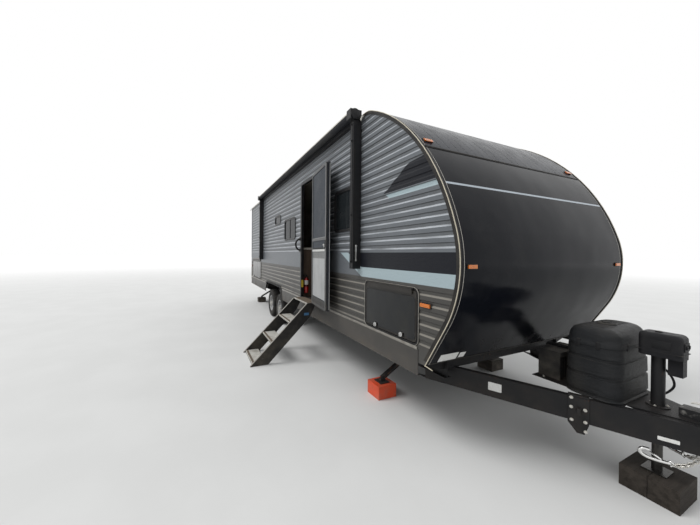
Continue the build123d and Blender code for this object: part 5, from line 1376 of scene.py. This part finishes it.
for side in (-1, 1):
    back = Vector((-0.90, side * 0.42, -0.05)).normalized()
    root = Vector((-0.318, side * 0.106, -0.214))
    crook = [(0, 0), (0.065, 0.000), (0.118, 0.008), (0.146, 0.032), (0.132, 0.060), (0.096, 0.058)]
    chain_hook.bent([root + back * along + Vector((0, 0, up)) for along, up in crook], 0.0115, 0.024)
    chain_hook.bent([root + Vector((0.004, 0, -0.016)), root + Vector((0.020, 0, 0.0)),
                     root + Vector((0.004, 0, 0.018)), root + back * 0.016], 0.0060, 0.012)
    chain_hook.bent([root + back * 0.040 + Vector((0, 0, 0.011)), root + back * 0.094 + Vector((0, 0, 0.044))],
                    flat_bar(0.009, 0.0018))
chain_hook.finished("chain_hooks", chrome, "bright_alu")

# Waste outlet. Black plastic drain pipe, solvent-welded and led out under the street side to a capped hose
# fitting with four bayonet lugs.
pipe_plastic = dark_finish("drain_pipe", (0.011, 0.011, 0.012), 0.4).grained(0.0004, 350).weathered(most=0.5)
clad(pipe_plastic, "sewer_outlet")
outlet_lugs = Form()
for n in range(4):
    turn = radians(45 + 90 * n)
    root, tip = ((-8.300 + r * cos(turn), 1.118, 0.040 + r * sin(turn)) for r in (0.040, 0.056))
    outlet_lugs.rod(root, tip, 0.004, 10)
outlet_lugs.finished("outlet_lugs", black_plastic, "black_plastic")

# Blocks and legs. Creosoted timber pads under the jack and three of the legs, an orange moulded levelling block
# under the leg on the door side at the front, and painted scissor-leg channels.
timber = dark_finish("dark_timber", (0.042, 0.035, 0.029), 0.8)
timber_grain = timber.patches(34, 0.3, 0.75, 8.0, stretch=(1, 0.08, 1))
timber.relief(timber.between(timber.work("ABSOLUTE", timber.work("ADD", timber.x, 0.41)), -0.1, 0.0022, 0.0015), -0.02)
timber.tint(timber_grain, (0.018, 0.015, 0.012), 0.85)
timber.relief(timber_grain, 0.003)
timber.blotched((0.070, 0.060, 0.050), 0.4, 4, 0.4, 0.75, 6.0)
clad(timber, "tongue_block")
orange_plastic = (Finish("orange_plastic", (0.66, 0.070, 0.020), 0.45, Specular_IOR_Level=0.3).grained(0.0006, 350)
                  .blotched((0.42, 0.055, 0.02), 0.5, 12, 0.4, 0.75, 6.0))
other_blocks = orange_plastic.work("MAXIMUM", orange_plastic.work("GREATER_THAN", orange_plastic.y, 0.0),
                                   orange_plastic.work("LESS_THAN", orange_plastic.x, -5.0))
other_grain = orange_plastic.patches(34, 0.3, 0.75, 8.0, stretch=(0.08, 1, 1))
orange_plastic.tint(other_blocks, (0.042, 0.035, 0.029))
orange_plastic.tint(orange_plastic.both(other_blocks, other_grain), (0.018, 0.015, 0.012), 0.85)
orange_plastic.dull(other_blocks, 0.8)
orange_plastic.weathered(most=0.35, low=-0.5, high=-0.3)
clad(orange_plastic, "leg_blocks")
leg_coat = (dark_finish("leg_coat", (0.013, 0.013, 0.014), 0.42).grained(0.0005, 420)
            .blotched((0.14, 0.07, 0.04), 0.5, 26, 0.55, 0.7, 7.0)
            .weathered(dust=(0.12, 0.10, 0.08), most=0.35, low=-0.5, high=0.1))
clad(leg_coat, "leg_front_curb", "leg_front_street", "leg_rear_curb", "leg_rear_street")
